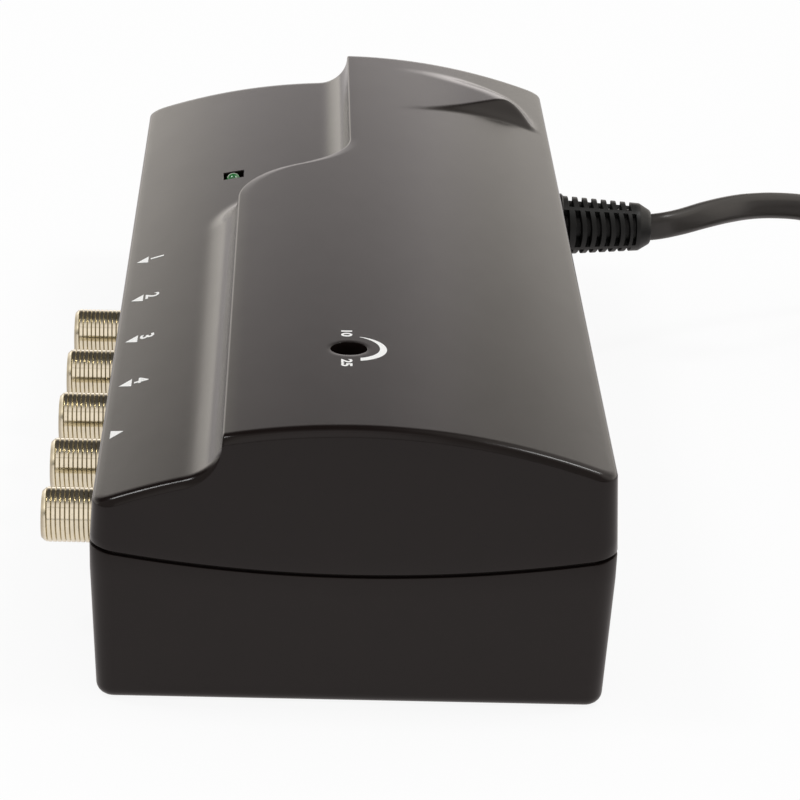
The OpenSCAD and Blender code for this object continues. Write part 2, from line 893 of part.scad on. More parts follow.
// Point of the coil after t turns: in along the floor, up a layer and out again
function ease(u) = u * u * (3 - 2 * u);
function coil_climbed(t) = min(max((t - coil_in_turns) / coil_climb, 0), 1);
function coil_radius(t) =
    t < coil_in_turns ? coil_r - coil_pitch * t :
    t < coil_in_turns + coil_climb ? coil_inner_r - coil_draw * sin(180 * coil_climbed(t)) :
    coil_inner_r + coil_pitch * (t - coil_in_turns - coil_climb);
function coil_point(t) =
    let (a = 90 - 360 * t)
    let (r = coil_radius(t))
    [coil_at.x + r * cos(a), coil_at.y + r * sin(a), coil_low + coil_layer * ease(coil_climbed(t))];
coil_path = concat(
    [coil_start - [cord_width, 0, 0]],
    [for (k = [0:coil_turns * coil_rings]) coil_point(k / coil_rings)],
    [coil_end - [0, cord_width, 0]]);

// Least clear distance between turns, sideways or upright, at rings over half a turn apart
function coil_gap() = min([for (i = [0:len(coil_path) - 1])
    let (way = heading(coil_path, i))
    let (s = unit(cross([0, 0, 1], way)))
    min(concat([coil_pitch], [for (j = [0:len(coil_path) - 1])
        let (step = coil_path[j] - coil_path[i])
        if (abs(j - i) > coil_rings / 2 && abs(step * way) < cord_width && norm(step) < 2 * cord_width)
        max(abs(step * s) - cord_thick, abs(step.z) - cord_width)]))]);
echo(coil_least_gap = coil_gap());

module mains_cord() {
    color([0.2, 0.19, 0.19])
        tube(concat(cord_route, [coil_path[0]]), cord_section);
}

module cord_coil() {
    color([0.2, 0.19, 0.19])
        tube(coil_path, coil_section);
}

module plug_lead() {
    color([0.2, 0.19, 0.19])
        tube(concat([coil_path[len(coil_path) - 1]], tail_route), cord_section);
}

// Band round the bundle of turns
tie_in = coil_inner_r - coil_draw - half_t - tie_room;
tie_out = coil_r - coil_pitch * 0.75 + half_t + tie_room;
tie_high = coil_layer + cord_width + tie_room;
module cord_tie() {
    color([0.07, 0.07, 0.07])
        translate([coil_at.x - tie_out - tie_t, coil_at.y - tie_width / 2, tie_low])
            difference() {
                cube([tie_out - tie_in + 2 * tie_t, tie_width, tie_high + 2 * tie_t]);
                translate([tie_t, -cut, tie_t])
                    cube([tie_out - tie_in, tie_width + 2 * cut, tie_high]);
            }
}

// Flat two-pin plug lying on its broad side, pins to the near end
module plug_body() {
    right = [for (p = plug_side) [p.x, -p.y]];
    left = [for (i = [len(plug_side) - 1:-1:0]) -plug_side[i]];
    color([0.1, 0.1, 0.1])
        difference() {
            union() {
                translate([plug_at.x, plug_at.y, plug_low])
                    linear_extrude(height = plug_t)
                        polygon(concat(right, left));
                translate([plug_at.x, plug_at.y + plug_neck, plug_at.z])
                    rotate([90, 0, 0])
                        cylinder(r1 = plug_neck_r[0], r2 = plug_neck_r[1], h = plug_neck + cut);
            }
            translate([plug_at.x - half_t, tail_end.y, plug_at.z - cord_rise])
                cube([cord_thick, plug_grip + cut, cord_width]);
        }
}

module plug_pin(i) {
    color([0.8, 0.78, 0.72])
        translate([plug_at.x + (i == 0 ? -1 : 1) * plug_pin_gap / 2, plug_at.y - plug_len, plug_at.z])
            rotate([90, 0, 0]) {
                cylinder(r = plug_pin_r, h = plug_pin_len - plug_pin_r);
                translate([0, 0, plug_pin_len - plug_pin_r])
                    sphere(r = plug_pin_r);
            }
}

// Inner lead from the strain relief to the transformer's primary side
module inner_lead(s) {
    y = relief_at.y;
    z = relief_at.z + s * lead_apart;
    end = winding_near - lead_stop;
    tube([[lead_start, y, z], [lead_start - lead_runs[0], y, z],
        [lead_start - lead_runs[1], y + lead_side[0], z - lead_drop[0]],
        [lead_start - lead_runs[2], end - lead_side[1], z - lead_drop[1]],
        [lead_start - lead_runs[3], end, z - lead_drop[2]]], round_section);
}

module lead_live() {
    color([0.45, 0.25, 0.12])
        inner_lead(-1);
}

module lead_neutral() {
    color([0.15, 0.3, 0.65])
        inner_lead(1);
}

base_tray();
top_cover();
main_board();
gain_pot_body();
gain_adjuster();
power_led();
led_spacer();
shield_frame();
shield_lid();
amplifier_transistor();
bridge_rectifier();
reservoir_capacitor();
voltage_regulator();
heat_sink();
fuse_holder();
mains_fuse();
transformer_core();
transformer_bobbin();
primary_winding();
secondary_winding();
transformer_strap();
lead_live();
lead_neutral();
strain_relief();
mains_cord();
cord_coil();
plug_lead();
cord_tie();
plug_body();
for (i = [1:4])
    cover_screw(i - 1);
for (i = [1:4])
    board_screw(i - 1);
for (i = [1:2])
    strap_screw(i - 1);
for (i = [1:2])
    ferrite_splitter(i - 1);
for (i = [1:2])
    plug_pin(i - 1);
for (i = [0:len(port_names) - 1]) {
    socket(i);
    insulator(i);
    contact(i);
}
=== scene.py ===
"""Aerial amplifier with five threaded sockets, a gain control and a mains lead."""
import math

import bmesh
import bpy
from mathutils import Matrix, Vector


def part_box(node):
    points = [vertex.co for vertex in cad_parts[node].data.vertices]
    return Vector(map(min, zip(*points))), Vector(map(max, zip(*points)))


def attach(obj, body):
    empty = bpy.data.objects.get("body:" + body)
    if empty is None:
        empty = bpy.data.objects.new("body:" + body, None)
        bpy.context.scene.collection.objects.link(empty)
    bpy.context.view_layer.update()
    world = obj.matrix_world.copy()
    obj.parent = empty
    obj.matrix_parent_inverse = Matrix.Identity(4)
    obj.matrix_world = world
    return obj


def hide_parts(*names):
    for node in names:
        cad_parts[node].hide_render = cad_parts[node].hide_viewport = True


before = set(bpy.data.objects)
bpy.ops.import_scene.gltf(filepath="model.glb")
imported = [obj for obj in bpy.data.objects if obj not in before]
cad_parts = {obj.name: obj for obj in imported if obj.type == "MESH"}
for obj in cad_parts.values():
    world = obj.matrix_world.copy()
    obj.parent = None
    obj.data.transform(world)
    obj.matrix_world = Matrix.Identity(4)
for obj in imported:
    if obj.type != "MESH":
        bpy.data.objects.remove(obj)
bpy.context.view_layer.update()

bl_info = {
    "name": "Aerial amplifier",
    "version": (1, 0, 0),
    "blender": (4, 5, 0),
    "location": "View3D > Sidebar > Amplifier",
    "description": "Dresses the packed frame of an aerial amplifier",
    "category": "Object",
}

MM = 0.001
TURN = 2 * math.pi
PORTS = ("ant", "tv1", "tv2", "tv3", "tv4")
WHITE = (1, 1, 1, 1)
BLACK = (0, 0, 0, 1)


# Sizes and colours

def mm(value):
    return value / MM


def span(node, axis):
    low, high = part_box(node)
    return mm(high[axis] - low[axis])


def middle(node, axis):
    low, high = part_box(node)
    return mm((high[axis] + low[axis]) / 2)


def centre(node):
    return Vector([middle(node, axis) for axis in range(3)])


def corners(node):
    """Lowest and highest corner of a CAD node, in millimetres."""
    return [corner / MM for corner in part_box(node)]


def distance(name, description, millimetres):
    return bpy.props.FloatProperty(
        name=name, description=description, default=millimetres * MM, unit="LENGTH", subtype="DISTANCE",
        precision=5)


def tint(name, description, colour):
    return bpy.props.FloatVectorProperty(
        name=name, description=description, default=colour, subtype="COLOR", size=3, min=0, max=1)


class CaseSizes(bpy.types.PropertyGroup):
    """Sizes of the two shells of the case."""
    width: distance("Width", "Across the case at its seam", span("base_tray", 0))
    length: distance("Length", "Along the case at its seam", span("base_tray", 1))
    height: distance("Height", "Middle of the arched top above the floor", 49)
    wall: distance("Wall", "Thickness of the shells", 2.3)
    corner: distance("Corner", "Rounding of the upright corners", 4.2)
    edge: distance("Edge", "Rounding of the cover's upper edge at both ends", 1.7)
    side_edge: distance("Side edge", "Rounding of the cover's upper edge along both sides", 0.6)
    foot: distance("Foot", "Rounding under the base", 2.0)
    arch: distance("Arch", "Radius of the arched top", 120)
    seam: distance("Seam", "Height of the seam along both sides", middle("strain_relief", 2))
    dip: distance("Seam dip", "How far the seam dips at both ends", 3.9)
    gap: distance("Seam gap", "Open height of the seam", 0.6)
    draft: bpy.props.FloatProperty(
        name="Draft", description="Lean of the walls", default=math.radians(3), unit="ROTATION",
        subtype="ANGLE")
    step: distance("Step", "Height of the raised panel above the shelf", 6.2)
    step_foot: distance("Step foot", "Width of the hollow foot of the step", 6.0)
    step_near: distance("Step offset", "Edge of the panel left of the middle, at the near end", 21.7)
    step_curve: distance("Step bend", "Radius of both bends of the panel's edge", 18)
    step_start: distance("Step start", "Start of the first bend before the far end", 95.5)


class FittingSizes(bpy.types.PropertyGroup):
    """Sizes of the sockets, the gain opening, the lamp and the strain relief."""
    thread: distance("Thread", "Radius of the sockets over the crests", 4.72)
    pitch: distance("Thread pitch", "From crest to crest", 0.794)
    gain_hole: distance("Gain hole", "Radius of the hole over the gain control", 3.15)
    gain_rim: distance("Gain rim", "Rounding of the gain hole", 0.1)
    spindle: distance("Spindle", "Radius of the gain spindle", 2.6)
    lamp: distance("Lamp", "Radius of the lamp", 1.5)
    rib: distance("Relief rib pitch", "From slot to slot of the strain relief", 1.9875)
    relief_hole: distance("Relief hole", "Radius of the opening round the strain relief", 4.6)


class CordSizes(bpy.types.PropertyGroup):
    """Sizes of the flat mains cord and its coil."""
    width: distance("Width", "Broad side of the cord", 5.6)
    thickness: distance("Thickness", "Thin side of the cord", 3.4)
    coil: distance("Coil", "Radius of the first turn of the coil", 37.5)


class Colours(bpy.types.PropertyGroup):
    """Colours of the finishes."""
    cover: tint("Cover", "Glossy plastic of the cover", (0.0075, 0.0045, 0.004))
    base: tint("Base", "Plastic of the base", (0.0095, 0.0062, 0.0056))
    nickel: tint("Nickel", "Plated sockets", (0.87, 0.81, 0.64))
    rubber: tint("Rubber", "Cord sheath", (0.036, 0.032, 0.029))
    relief: tint("Relief", "Strain relief", (0.008, 0.0082, 0.008))
    ink: tint("Ink", "Printed marks", (0.92, 0.92, 0.9))
    lamp: tint("Lamp", "Lens of the lamp", (0.02, 0.17, 0.045))
    floor: tint("Floor", "Floor under the object", (0.95, 0.95, 0.95))


# Shader expressions

class Signal:
    """Output socket of a shader tree, used in expressions."""

    def __init__(self, tree, socket):
        self.tree = tree
        self.socket = socket

    def add(self, kind, inputs, out=0, stops=(), **settings):
        """New node of this tree, with its settings, then its input values and links."""
        node = self.tree.nodes.new(kind)
        for name, value in settings.items():
            setattr(node, name, value)
        for index, (position, colour) in enumerate(stops):
            elements = node.color_ramp.elements
            element = elements[index] if index < len(elements) else elements.new(position)
            element.position = position
            element.color = colour
        for key, value in inputs.items():
            if isinstance(value, Signal):
                self.tree.links.new(value.socket, node.inputs[key])
            else:
                node.inputs[key].default_value = value
        return Signal(self.tree, node.outputs[out])

    def math(self, operation, first, second):
        return self.add("ShaderNodeMath", {0: first, 1: second}, operation=operation)

    def __add__(self, other):
        return self.math("ADD", self, other)

    __radd__ = __add__

    def __sub__(self, other):
        return self.math("SUBTRACT", self, other)

    def __rsub__(self, other):
        return self.math("SUBTRACT", other, self)

    def __mul__(self, other):
        return self.math("MULTIPLY", self, other)

    __rmul__ = __mul__

    def __pow__(self, other):
        return self.math("POWER", self, other)

    def __mod__(self, other):
        return self.math("FLOORED_MODULO", self, other)

    def band(self, low, high):
        """Zero below low, one above high, eased between."""
        return self.add("ShaderNodeMapRange", {"Value": self, "From Min": low, "From Max": high},
                        interpolation_type="SMOOTHSTEP")

    def noise(self, scale, detail=2.0, roughness=0.5):
        return self.add("ShaderNodeTexNoise",
                        {"Vector": self, "Scale": scale, "Detail": detail, "Roughness": roughness})

    def wave(self, scale, distortion, axis):
        return self.add("ShaderNodeTexWave", {"Vector": self, "Scale": scale, "Distortion": distortion},
                        bands_direction=axis)

    def stretched(self, scale):
        return self.add("ShaderNodeMapping", {"Vector": self, "Scale": scale})

    def axis(self, name):
        return self.add("ShaderNodeSeparateXYZ", {0: self}, out="XYZ".index(name))

    def levels(self, stops):
        """Grey level at each position, straight between them."""
        return self.add("ShaderNodeValToRGB", {"Fac": self},
                        stops=[(position, (level, level, level, 1.0)) for position, level in stops])

    def blend(self, first, second):
        """Colour between two colours, by this signal."""
        return self.add("ShaderNodeMix", {0: self, 6: first, 7: second}, out=2, data_type="RGBA")

    def shade(self, colour, first, second):
        """One colour between two strengths, by this signal."""
        return self.blend(rgba(colour, first), rgba(colour, second))

    def bump(self, strength, depth, under=None):
        inputs = {"Height": self, "Strength": strength, "Distance": depth}
        if under:
            inputs["Normal"] = under
        return self.add("ShaderNodeBump", inputs)


def rgba(colour, factor=1.0):
    return tuple(min(1.0, part * factor) for part in colour) + (1.0,)


def ray_kind(tree, *names):
    """One for rays of any of these kinds."""
    path = tree.nodes.new("ShaderNodeLightPath")
    kinds = [Signal(tree, path.outputs[name]) for name in names]
    found = kinds[0]
    for kind in kinds[1:]:
        found = found.math("MAXIMUM", found, kind)
    return found


class Finish:
    """Material with one principled shader, fed by signals; underscores stand for spaces in input names."""

    def __init__(self, name, **constants):
        self.material = bpy.data.materials.new(name)
        self.material.use_nodes = True
        self.tree = self.material.node_tree
        self.tree.nodes.clear()
        self.shader = self.tree.nodes.new("ShaderNodeBsdfPrincipled")
        output = self.tree.nodes.new("ShaderNodeOutputMaterial")
        self.tree.links.new(self.shader.outputs[0], output.inputs["Surface"])
        self.place = Signal(self.tree, self.tree.nodes.new("ShaderNodeTexCoord").outputs["Object"])
        for key, value in constants.items():
            self.shader.inputs[key.replace("_", " ")].default_value = value

    def feed(self, **signals):
        for key, signal in signals.items():
            self.tree.links.new(signal.socket, self.shader.inputs[key.replace("_", " ")])


def moulded_plastic(name, colour, rough, ior, grain):
    """Injection-moulded plastic with faint flow mottling and a fine grain."""
    finish = Finish(name, IOR=ior)
    flow = finish.place.stretched((1.0, 0.35, 1.0)).noise(160, 3.0, 0.55)
    fine = finish.place.noise(5200)
    dust = finish.place.noise(900, 4.0, 0.7).band(0.66, 0.8)
    finish.feed(Base_Color=(flow * 0.7 + dust * 0.5).shade(colour, 0.82, 1.3),
                Roughness=rough + (flow - 0.5) * 0.08 + dust * 0.1,
                Normal=fine.bump(grain, 0.00003, flow.bump(0.06, 0.0004)))


def matt_moulding(name, colour, rough, ior=1.45):
    """Plain moulded plastic or rubber with a soft grain."""
    finish = Finish(name, IOR=ior)
    cloud = finish.place.noise(240, 3.0, 0.6)
    finish.feed(Base_Color=cloud.shade(colour, 0.8, 1.25),
                Roughness=rough + (cloud - 0.5) * 0.16,
                Normal=finish.place.noise(3600).bump(0.25, 0.00005))


def plated_metal(name, colour, rough, way=(1, 1, 1)):
    """Plated or rolled metal with drawn streaks and dull patches."""
    finish = Finish(name, Metallic=1.0)
    streak = finish.place.stretched(way).noise(2400, 3.0, 0.6)
    cloud = finish.place.noise(300, 3.0, 0.6)
    finish.feed(Base_Color=(cloud * 0.6 + streak * 0.4).shade(colour, 0.75, 1.06),
                Roughness=rough + (cloud - 0.5) * 0.12 + (streak - 0.5) * 0.08,
                Normal=streak.bump(0.12, 0.00003))


def socket_nickel(colour, crest):
    """Warm nickel with brown tarnish down in the thread and dull spots."""
    finish = Finish("socket_nickel", Metallic=1.0)
    first = centre("insulator_ant") * MM
    apart = (middle("insulator_tv1", 1) - middle("insulator_ant", 1)) * MM
    side = (finish.place.axis("Y") - (first.y - apart / 2)) % apart - apart / 2
    rise = finish.place.axis("Z") - first.z
    radius = (side * side + rise * rise) ** 0.5
    root = 1.0 - radius.band(crest - 0.48 * MM, crest - 0.06 * MM)
    cloud = finish.place.noise(700, 4.0, 0.65)
    spots = finish.place.noise(2600, 3.0, 0.7).band(0.6, 0.78)
    worn = cloud.shade(colour, 0.86, 1.12)
    finish.feed(Base_Color=(root * 0.5 + spots * 0.2).blend(worn, rgba((0.2, 0.15, 0.09))),
                Roughness=0.14 + root * 0.16 + (cloud - 0.5) * 0.12 + spots * 0.2,
                Normal=cloud.bump(0.1, 0.00008))


def cord_sheath(colour):
    """Satin cord sheath with a fine grain and scuffs."""
    finish = Finish("cord_sheath", IOR=1.42)
    cloud = finish.place.noise(150, 4.0, 0.6)
    scuff = finish.place.noise(1100, 4.0, 0.7).band(0.6, 0.8)
    finish.feed(Base_Color=(cloud * 0.7 + scuff * 0.4).shade(colour, 0.8, 1.35),
                Roughness=0.3 + (cloud - 0.5) * 0.14 + scuff * 0.16,
                Normal=finish.place.noise(4200).bump(0.16, 0.00005))


def printed_ink(colour):
    """Screen-printed ink with small pinholes."""
    finish = Finish("printed_ink", IOR=1.45)
    cover = finish.place.noise(2600, 4.0, 0.7).band(0.25, 0.42)
    cloud = finish.place.noise(500, 3.0)
    finish.feed(Base_Color=cover.shade(colour, 0.72, 1.0),
                Roughness=0.45 + cloud * 0.15,
                Normal=cloud.bump(0.15, 0.00004))


def lamp_lens(colour):
    """Tinted lens of the lamp, slightly cloudy."""
    finish = Finish("lamp_lens", IOR=1.5, Coat_Roughness=0.05, Subsurface_Weight=0.35, Subsurface_Scale=0.001,
                    Subsurface_Radius=(0.3, 1.0, 0.35))
    cloud = finish.place.noise(1400, 3.0)
    finish.feed(Base_Color=cloud.shade(colour, 0.75, 1.3),
                Roughness=0.1 + cloud * 0.12,
                Coat_Weight=0.5 + cloud * 0.3)


def clear_glass(name, colour):
    finish = Finish(name, IOR=1.47, Transmission_Weight=0.85)
    cloud = finish.place.noise(600)
    finish.feed(Base_Color=cloud.shade(colour, 0.9, 1.0), Roughness=0.04 + cloud * 0.08)


def board_laminate(name, colour):
    """Green laminate with woven glass showing through and darker tracks."""
    finish = Finish(name, IOR=1.5)
    weave = finish.place.add("ShaderNodeTexBrick", {
        "Vector": finish.place, "Scale": 900.0, "Mortar Size": 0.03}, out=1)
    track = finish.place.stretched((1, 0.25, 1)).noise(420, 1.0).band(0.5, 0.53)
    finish.feed(Base_Color=(track * 0.7 + weave * 0.2).shade(colour, 1.0, 0.55),
                Roughness=0.35 + track * 0.15,
                Normal=track.bump(0.3, 0.00004))


def wound_wire(name, colour):
    """Enamelled wire laid in close turns."""
    finish = Finish(name, Metallic=0.85)
    turns = finish.place.wave(480.0, 0.6, "Z")
    finish.feed(Base_Color=turns.shade(colour, 0.45, 1.1),
                Roughness=0.32 + turns * 0.15,
                Normal=turns.bump(0.6, 0.0002))


def stacked_steel(name, colour):
    """Edges of a stack of thin steel sheets."""
    finish = Finish(name, Metallic=0.9)
    sheets = finish.place.wave(630.0, 0.3, "Y")
    rust = finish.place.noise(500, 4.0, 0.7).band(0.55, 0.75)
    finish.feed(Base_Color=(sheets * 0.6 + rust * 0.4).shade(colour, 1.2, 0.5),
                Roughness=0.45 + sheets * 0.2,
                Normal=sheets.bump(0.4, 0.0001))


# Modelling helpers, in millimetres

def legs(start, *stops):
    """Evenly spaced values after start, up to and with each stop's end in turn."""
    values = []
    for end, count in stops:
        values += [start + (end - start) * (step + 1) / count for step in range(count)]
        start = end
    return values


def dome(radius, top, steps):
    """Quarter circle of radius and height, from its widest place up to its top."""
    angles = [math.pi / 2 * (steps - step) / steps for step in range(steps + 1)]
    return [(radius * math.sin(angle), top - radius + radius * math.cos(angle)) for angle in angles]


def grid(bm, across, along):
    """Flat grid, as its vertices with their columns and rows."""
    verts = bmesh.ops.create_grid(bm, x_segments=across, y_segments=along, size=1)["verts"]
    return [(vert, round((vert.co.x + 1) / 2 * across), round((vert.co.y + 1) / 2 * along)) for vert in verts]


def heading(across, along):
    """Unit vector that turns evenly as a vertex goes round a square of cells."""
    a, b = abs(across), abs(along)
    turn = 0.0
    if a or b:
        turn = b / a * 0.25 if a >= b else 0.5 - a / b * 0.25
    return Vector((math.copysign(math.cos(turn * math.pi), across),
                   math.copysign(math.sin(turn * math.pi), along)))


def skin(bm, columns, rows, rings, put):
    """Grid of columns and rows with rings of cells round it, each vertex put in its place."""
    across = len(columns) - 1 + 2 * rings
    along = len(rows) - 1 + 2 * rings
    marks = {}
    for vert, i, j in grid(bm, across, along):
        out_x = max(rings - i, i - across + rings, 0)
        out_y = max(rings - j, j - along + rings, 0)
        way = heading(out_x if i > rings else -out_x, out_y if j > rings else -out_y)
        column = min(max(i - rings, 0), len(columns) - 1)
        row = min(max(j - rings, 0), len(rows) - 1)
        marks[vert] = (column, row, max(out_x, out_y))
        vert.co = put(*marks[vert], way)
    return marks


def open_edges(verts):
    wanted = set(verts)
    edges = {edge for vert in wanted for edge in vert.link_edges}
    return [edge for edge in edges if edge.is_boundary and all(vert in wanted for vert in edge.verts)]


def outward(bm):
    bmesh.ops.recalc_face_normals(bm, faces=bm.faces)


def close_up(bm):
    bmesh.ops.holes_fill(bm, edges=[edge for edge in bm.edges if edge.is_boundary], sides=0)


def soften(bm, edges, width, segments):
    bmesh.ops.bevel(bm, geom=edges, offset=width, segments=segments, profile=0.5, affect="EDGES", material=-1)


def drawn_out(bm, loop):
    """Extrudes an open edge and gives its new vertices and its new open edges."""
    made = bmesh.ops.extrude_edge_only(bm, edges=loop)["geom"]
    verts = [item for item in made if isinstance(item, bmesh.types.BMVert)]
    return verts, [item for item in made if isinstance(item, bmesh.types.BMEdge) and item.is_boundary]


def carry(bm, loop, stations):
    """Extends an open round edge through stations of radius and height."""
    for radius, height in stations:
        verts, loop = drawn_out(bm, loop)
        for vert in verts:
            scale = radius / math.hypot(vert.co.x, vert.co.y)
            vert.co = Vector((vert.co.x * scale, vert.co.y * scale, height))


def lathe(bm, profile, steps, place):
    """Profile of radius and height turned about the Z axis, then placed."""
    verts = [bm.verts.new((max(radius, 0.0), 0, height)) for radius, height in profile]
    edges = [bm.edges.new(pair) for pair in zip(verts, verts[1:])]
    before = set(bm.verts) - set(verts)
    bmesh.ops.spin(bm, geom=verts + edges, cent=(0, 0, 0), axis=(0, 0, 1), angle=TURN, steps=steps,
                   use_merge=True)
    made = [vert for vert in bm.verts if vert not in before]
    bmesh.ops.remove_doubles(bm, verts=made, dist=0.0005)
    made = [vert for vert in bm.verts if vert not in before]
    bmesh.ops.transform(bm, matrix=place, verts=made)
    bmesh.ops.recalc_face_normals(bm, faces=list({face for vert in made for face in vert.link_faces}))


def block(bm, low, high, soft=0.0):
    """Box between two corners, with softened edges if soft is given."""
    low, high = Vector(low), Vector(high)
    matrix = Matrix.Translation((low + high) / 2) @ Matrix.Diagonal((*(high - low), 1))
    made = bmesh.ops.create_cube(bm, size=1, matrix=matrix)["verts"]
    if soft:
        soften(bm, list({edge for vert in made for edge in vert.link_edges}), soft, 2)


def rod(bm, start, end, radius, segments=48):
    """Closed cylinder from one point to another."""
    start, end = Vector(start), Vector(end)
    way = end - start
    turn = Vector((0, 0, 1)).rotation_difference(way).to_matrix().to_4x4()
    bmesh.ops.create_cone(bm, cap_ends=True, segments=segments, radius1=radius, radius2=radius,
                          depth=way.length, matrix=Matrix.Translation((start + end) / 2) @ turn)


def carved(solid, tool, operation="DIFFERENCE"):
    """Solid with the tool's volume taken away or joined on."""
    pair = []
    for name, bm in (("blank", solid), ("tool", tool)):
        mesh = bpy.data.meshes.new(name)
        bm.to_mesh(mesh)
        bm.free()
        pair.append(bpy.data.objects.new(name, mesh))
        bpy.context.scene.collection.objects.link(pair[-1])
    change = pair[0].modifiers.new("cut", "BOOLEAN")
    change.object = pair[1]
    change.operation = operation
    change.solver = "EXACT"
    result = bmesh.new()
    result.from_object(pair[0], bpy.context.evaluated_depsgraph_get())
    for item in pair:
        mesh = item.data
        bpy.data.objects.remove(item)
        bpy.data.meshes.remove(mesh)
    return result


def take_in(bm, mesh):
    """Adds a mesh to the one in work and removes the original."""
    bm.from_mesh(mesh)
    bpy.data.meshes.remove(mesh)


def place_piece(bm, name, finishes, nodes=(), body="housing", crease=38):
    """Makes the mesh an object in metres that rides on a body and stands for CAD nodes."""
    bmesh.ops.scale(bm, vec=(MM, MM, MM), verts=bm.verts)
    mesh = bpy.data.meshes.new(name)
    bm.to_mesh(mesh)
    bm.free()
    for finish in finishes:
        mesh.materials.append(bpy.data.materials[finish])
    mesh.polygons.foreach_set("use_smooth", [True] * len(mesh.polygons))
    mesh.set_sharp_from_angle(angle=math.radians(crease))
    piece = bpy.data.objects.new(name, mesh)
    bpy.context.scene.collection.objects.link(piece)
    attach(piece, body)
    if nodes:
        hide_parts(*nodes)
    return piece


def soft_max(first, second, width):
    near = max(width - abs(first - second), 0.0) / width
    return max(first, second) + near * near * width / 4


# Form of the case, in millimetres

class CaseForm:
    """Heights and outlines of the case, worked out from its sizes."""
    PLAIN = ("height", "wall", "corner", "edge", "side_edge", "foot", "seam", "dip", "gap", "step",
             "step_foot")
    EDGE_ROUND = 0.4
    PANEL_SOFT = 1.3
    WEDGE_TOP = 47.35
    WEDGE_AT = Vector((21.6, -33.3))
    WEDGE_SOFT = 0.5
    FRONT_WAY = Vector((0.52, -0.854))
    FRONT_FALL = 0.62
    BACK_AT = Vector((-15.5, -4.5))
    BACK_R = 27.2
    BACK_FALL = 0.0465
    END_AT = 11.5
    END_FALL = 0.09

    def __init__(self, sizes):
        for key in self.PLAIN:
            setattr(self, key, mm(getattr(sizes, key)))
        self.half_w = mm(sizes.width) / 2
        self.half_l = mm(sizes.length) / 2
        self.arch_r = mm(sizes.arch)
        self.lean = math.tan(sizes.draft)
        self.near_x = -mm(sizes.step_near)
        self.bend = mm(sizes.step_curve)
        self.start_y = self.half_l - mm(sizes.step_start)
        self.run = math.sqrt(4 * self.bend ** 2 - (2 * self.bend + self.near_x) ** 2)
        self.seam_r = (self.half_w ** 2 + self.dip ** 2) / (2 * self.dip)
        self.left = -self.half_w + self.corner
        self.right = self.half_w - self.corner
        self.end = self.half_l - self.corner

    def arch(self, x):
        return self.height - self.arch_r + math.sqrt(self.arch_r ** 2 - x * x)

    def shelf(self, x):
        return self.arch(x) - self.step

    def parting(self, x):
        return self.seam - self.dip + self.seam_r - math.sqrt(self.seam_r ** 2 - min(x * x, self.half_w ** 2))

    def shrink(self, z):
        return max(0.0, self.seam - self.dip - z, z - self.seam) * self.lean

    def bend_x(self, y, out):
        """Line of the step at a distance out from the panel's edge towards the shelf."""
        first = self.bend + out
        second = self.bend - out
        switch = self.start_y + self.run * first / (2 * self.bend)
        if y <= self.start_y:
            return self.near_x - out
        if y <= switch:
            return self.near_x + self.bend - math.sqrt(first ** 2 - (y - self.start_y) ** 2)
        if y <= self.start_y + self.run:
            return -self.bend + math.sqrt(second ** 2 - (self.start_y + self.run - y) ** 2)
        return -out

    def wedge(self, x, y):
        """Height of the wedge on the panel's far side: level, with a crisp front edge and a rounded back."""
        out = Vector((x, y - self.half_l)) - self.WEDGE_AT
        back = max(0.0, (out - self.BACK_AT).length - self.BACK_R)
        end = max(0.0, out.x - self.END_AT)
        level = self.WEDGE_TOP - self.BACK_FALL * back ** 2 - self.END_FALL * end ** 2
        front = self.WEDGE_TOP - self.FRONT_FALL * out.dot(self.FRONT_WAY)
        return -soft_max(-level, -front, self.WEDGE_SOFT)

    def panel(self, x, y):
        return soft_max(self.arch(x), self.wedge(x, y), self.PANEL_SOFT)


def relief_opening(bm, scene):
    """Adds the round opening for the strain relief in the right wall."""
    wall_x = mm(scene.amplifier_case.width) / 2
    _, y, z = centre("strain_relief")
    rod(bm, (wall_x - 8, y, z), (wall_x + 4, y, z), mm(scene.amplifier_fittings.relief_hole))


# Operators

class PieceOperator:
    """What the operators share: each makes its pieces in make()."""
    bl_options = {"REGISTER", "UNDO"}

    def execute(self, context):
        self.make(context.scene)
        return {"FINISHED"}


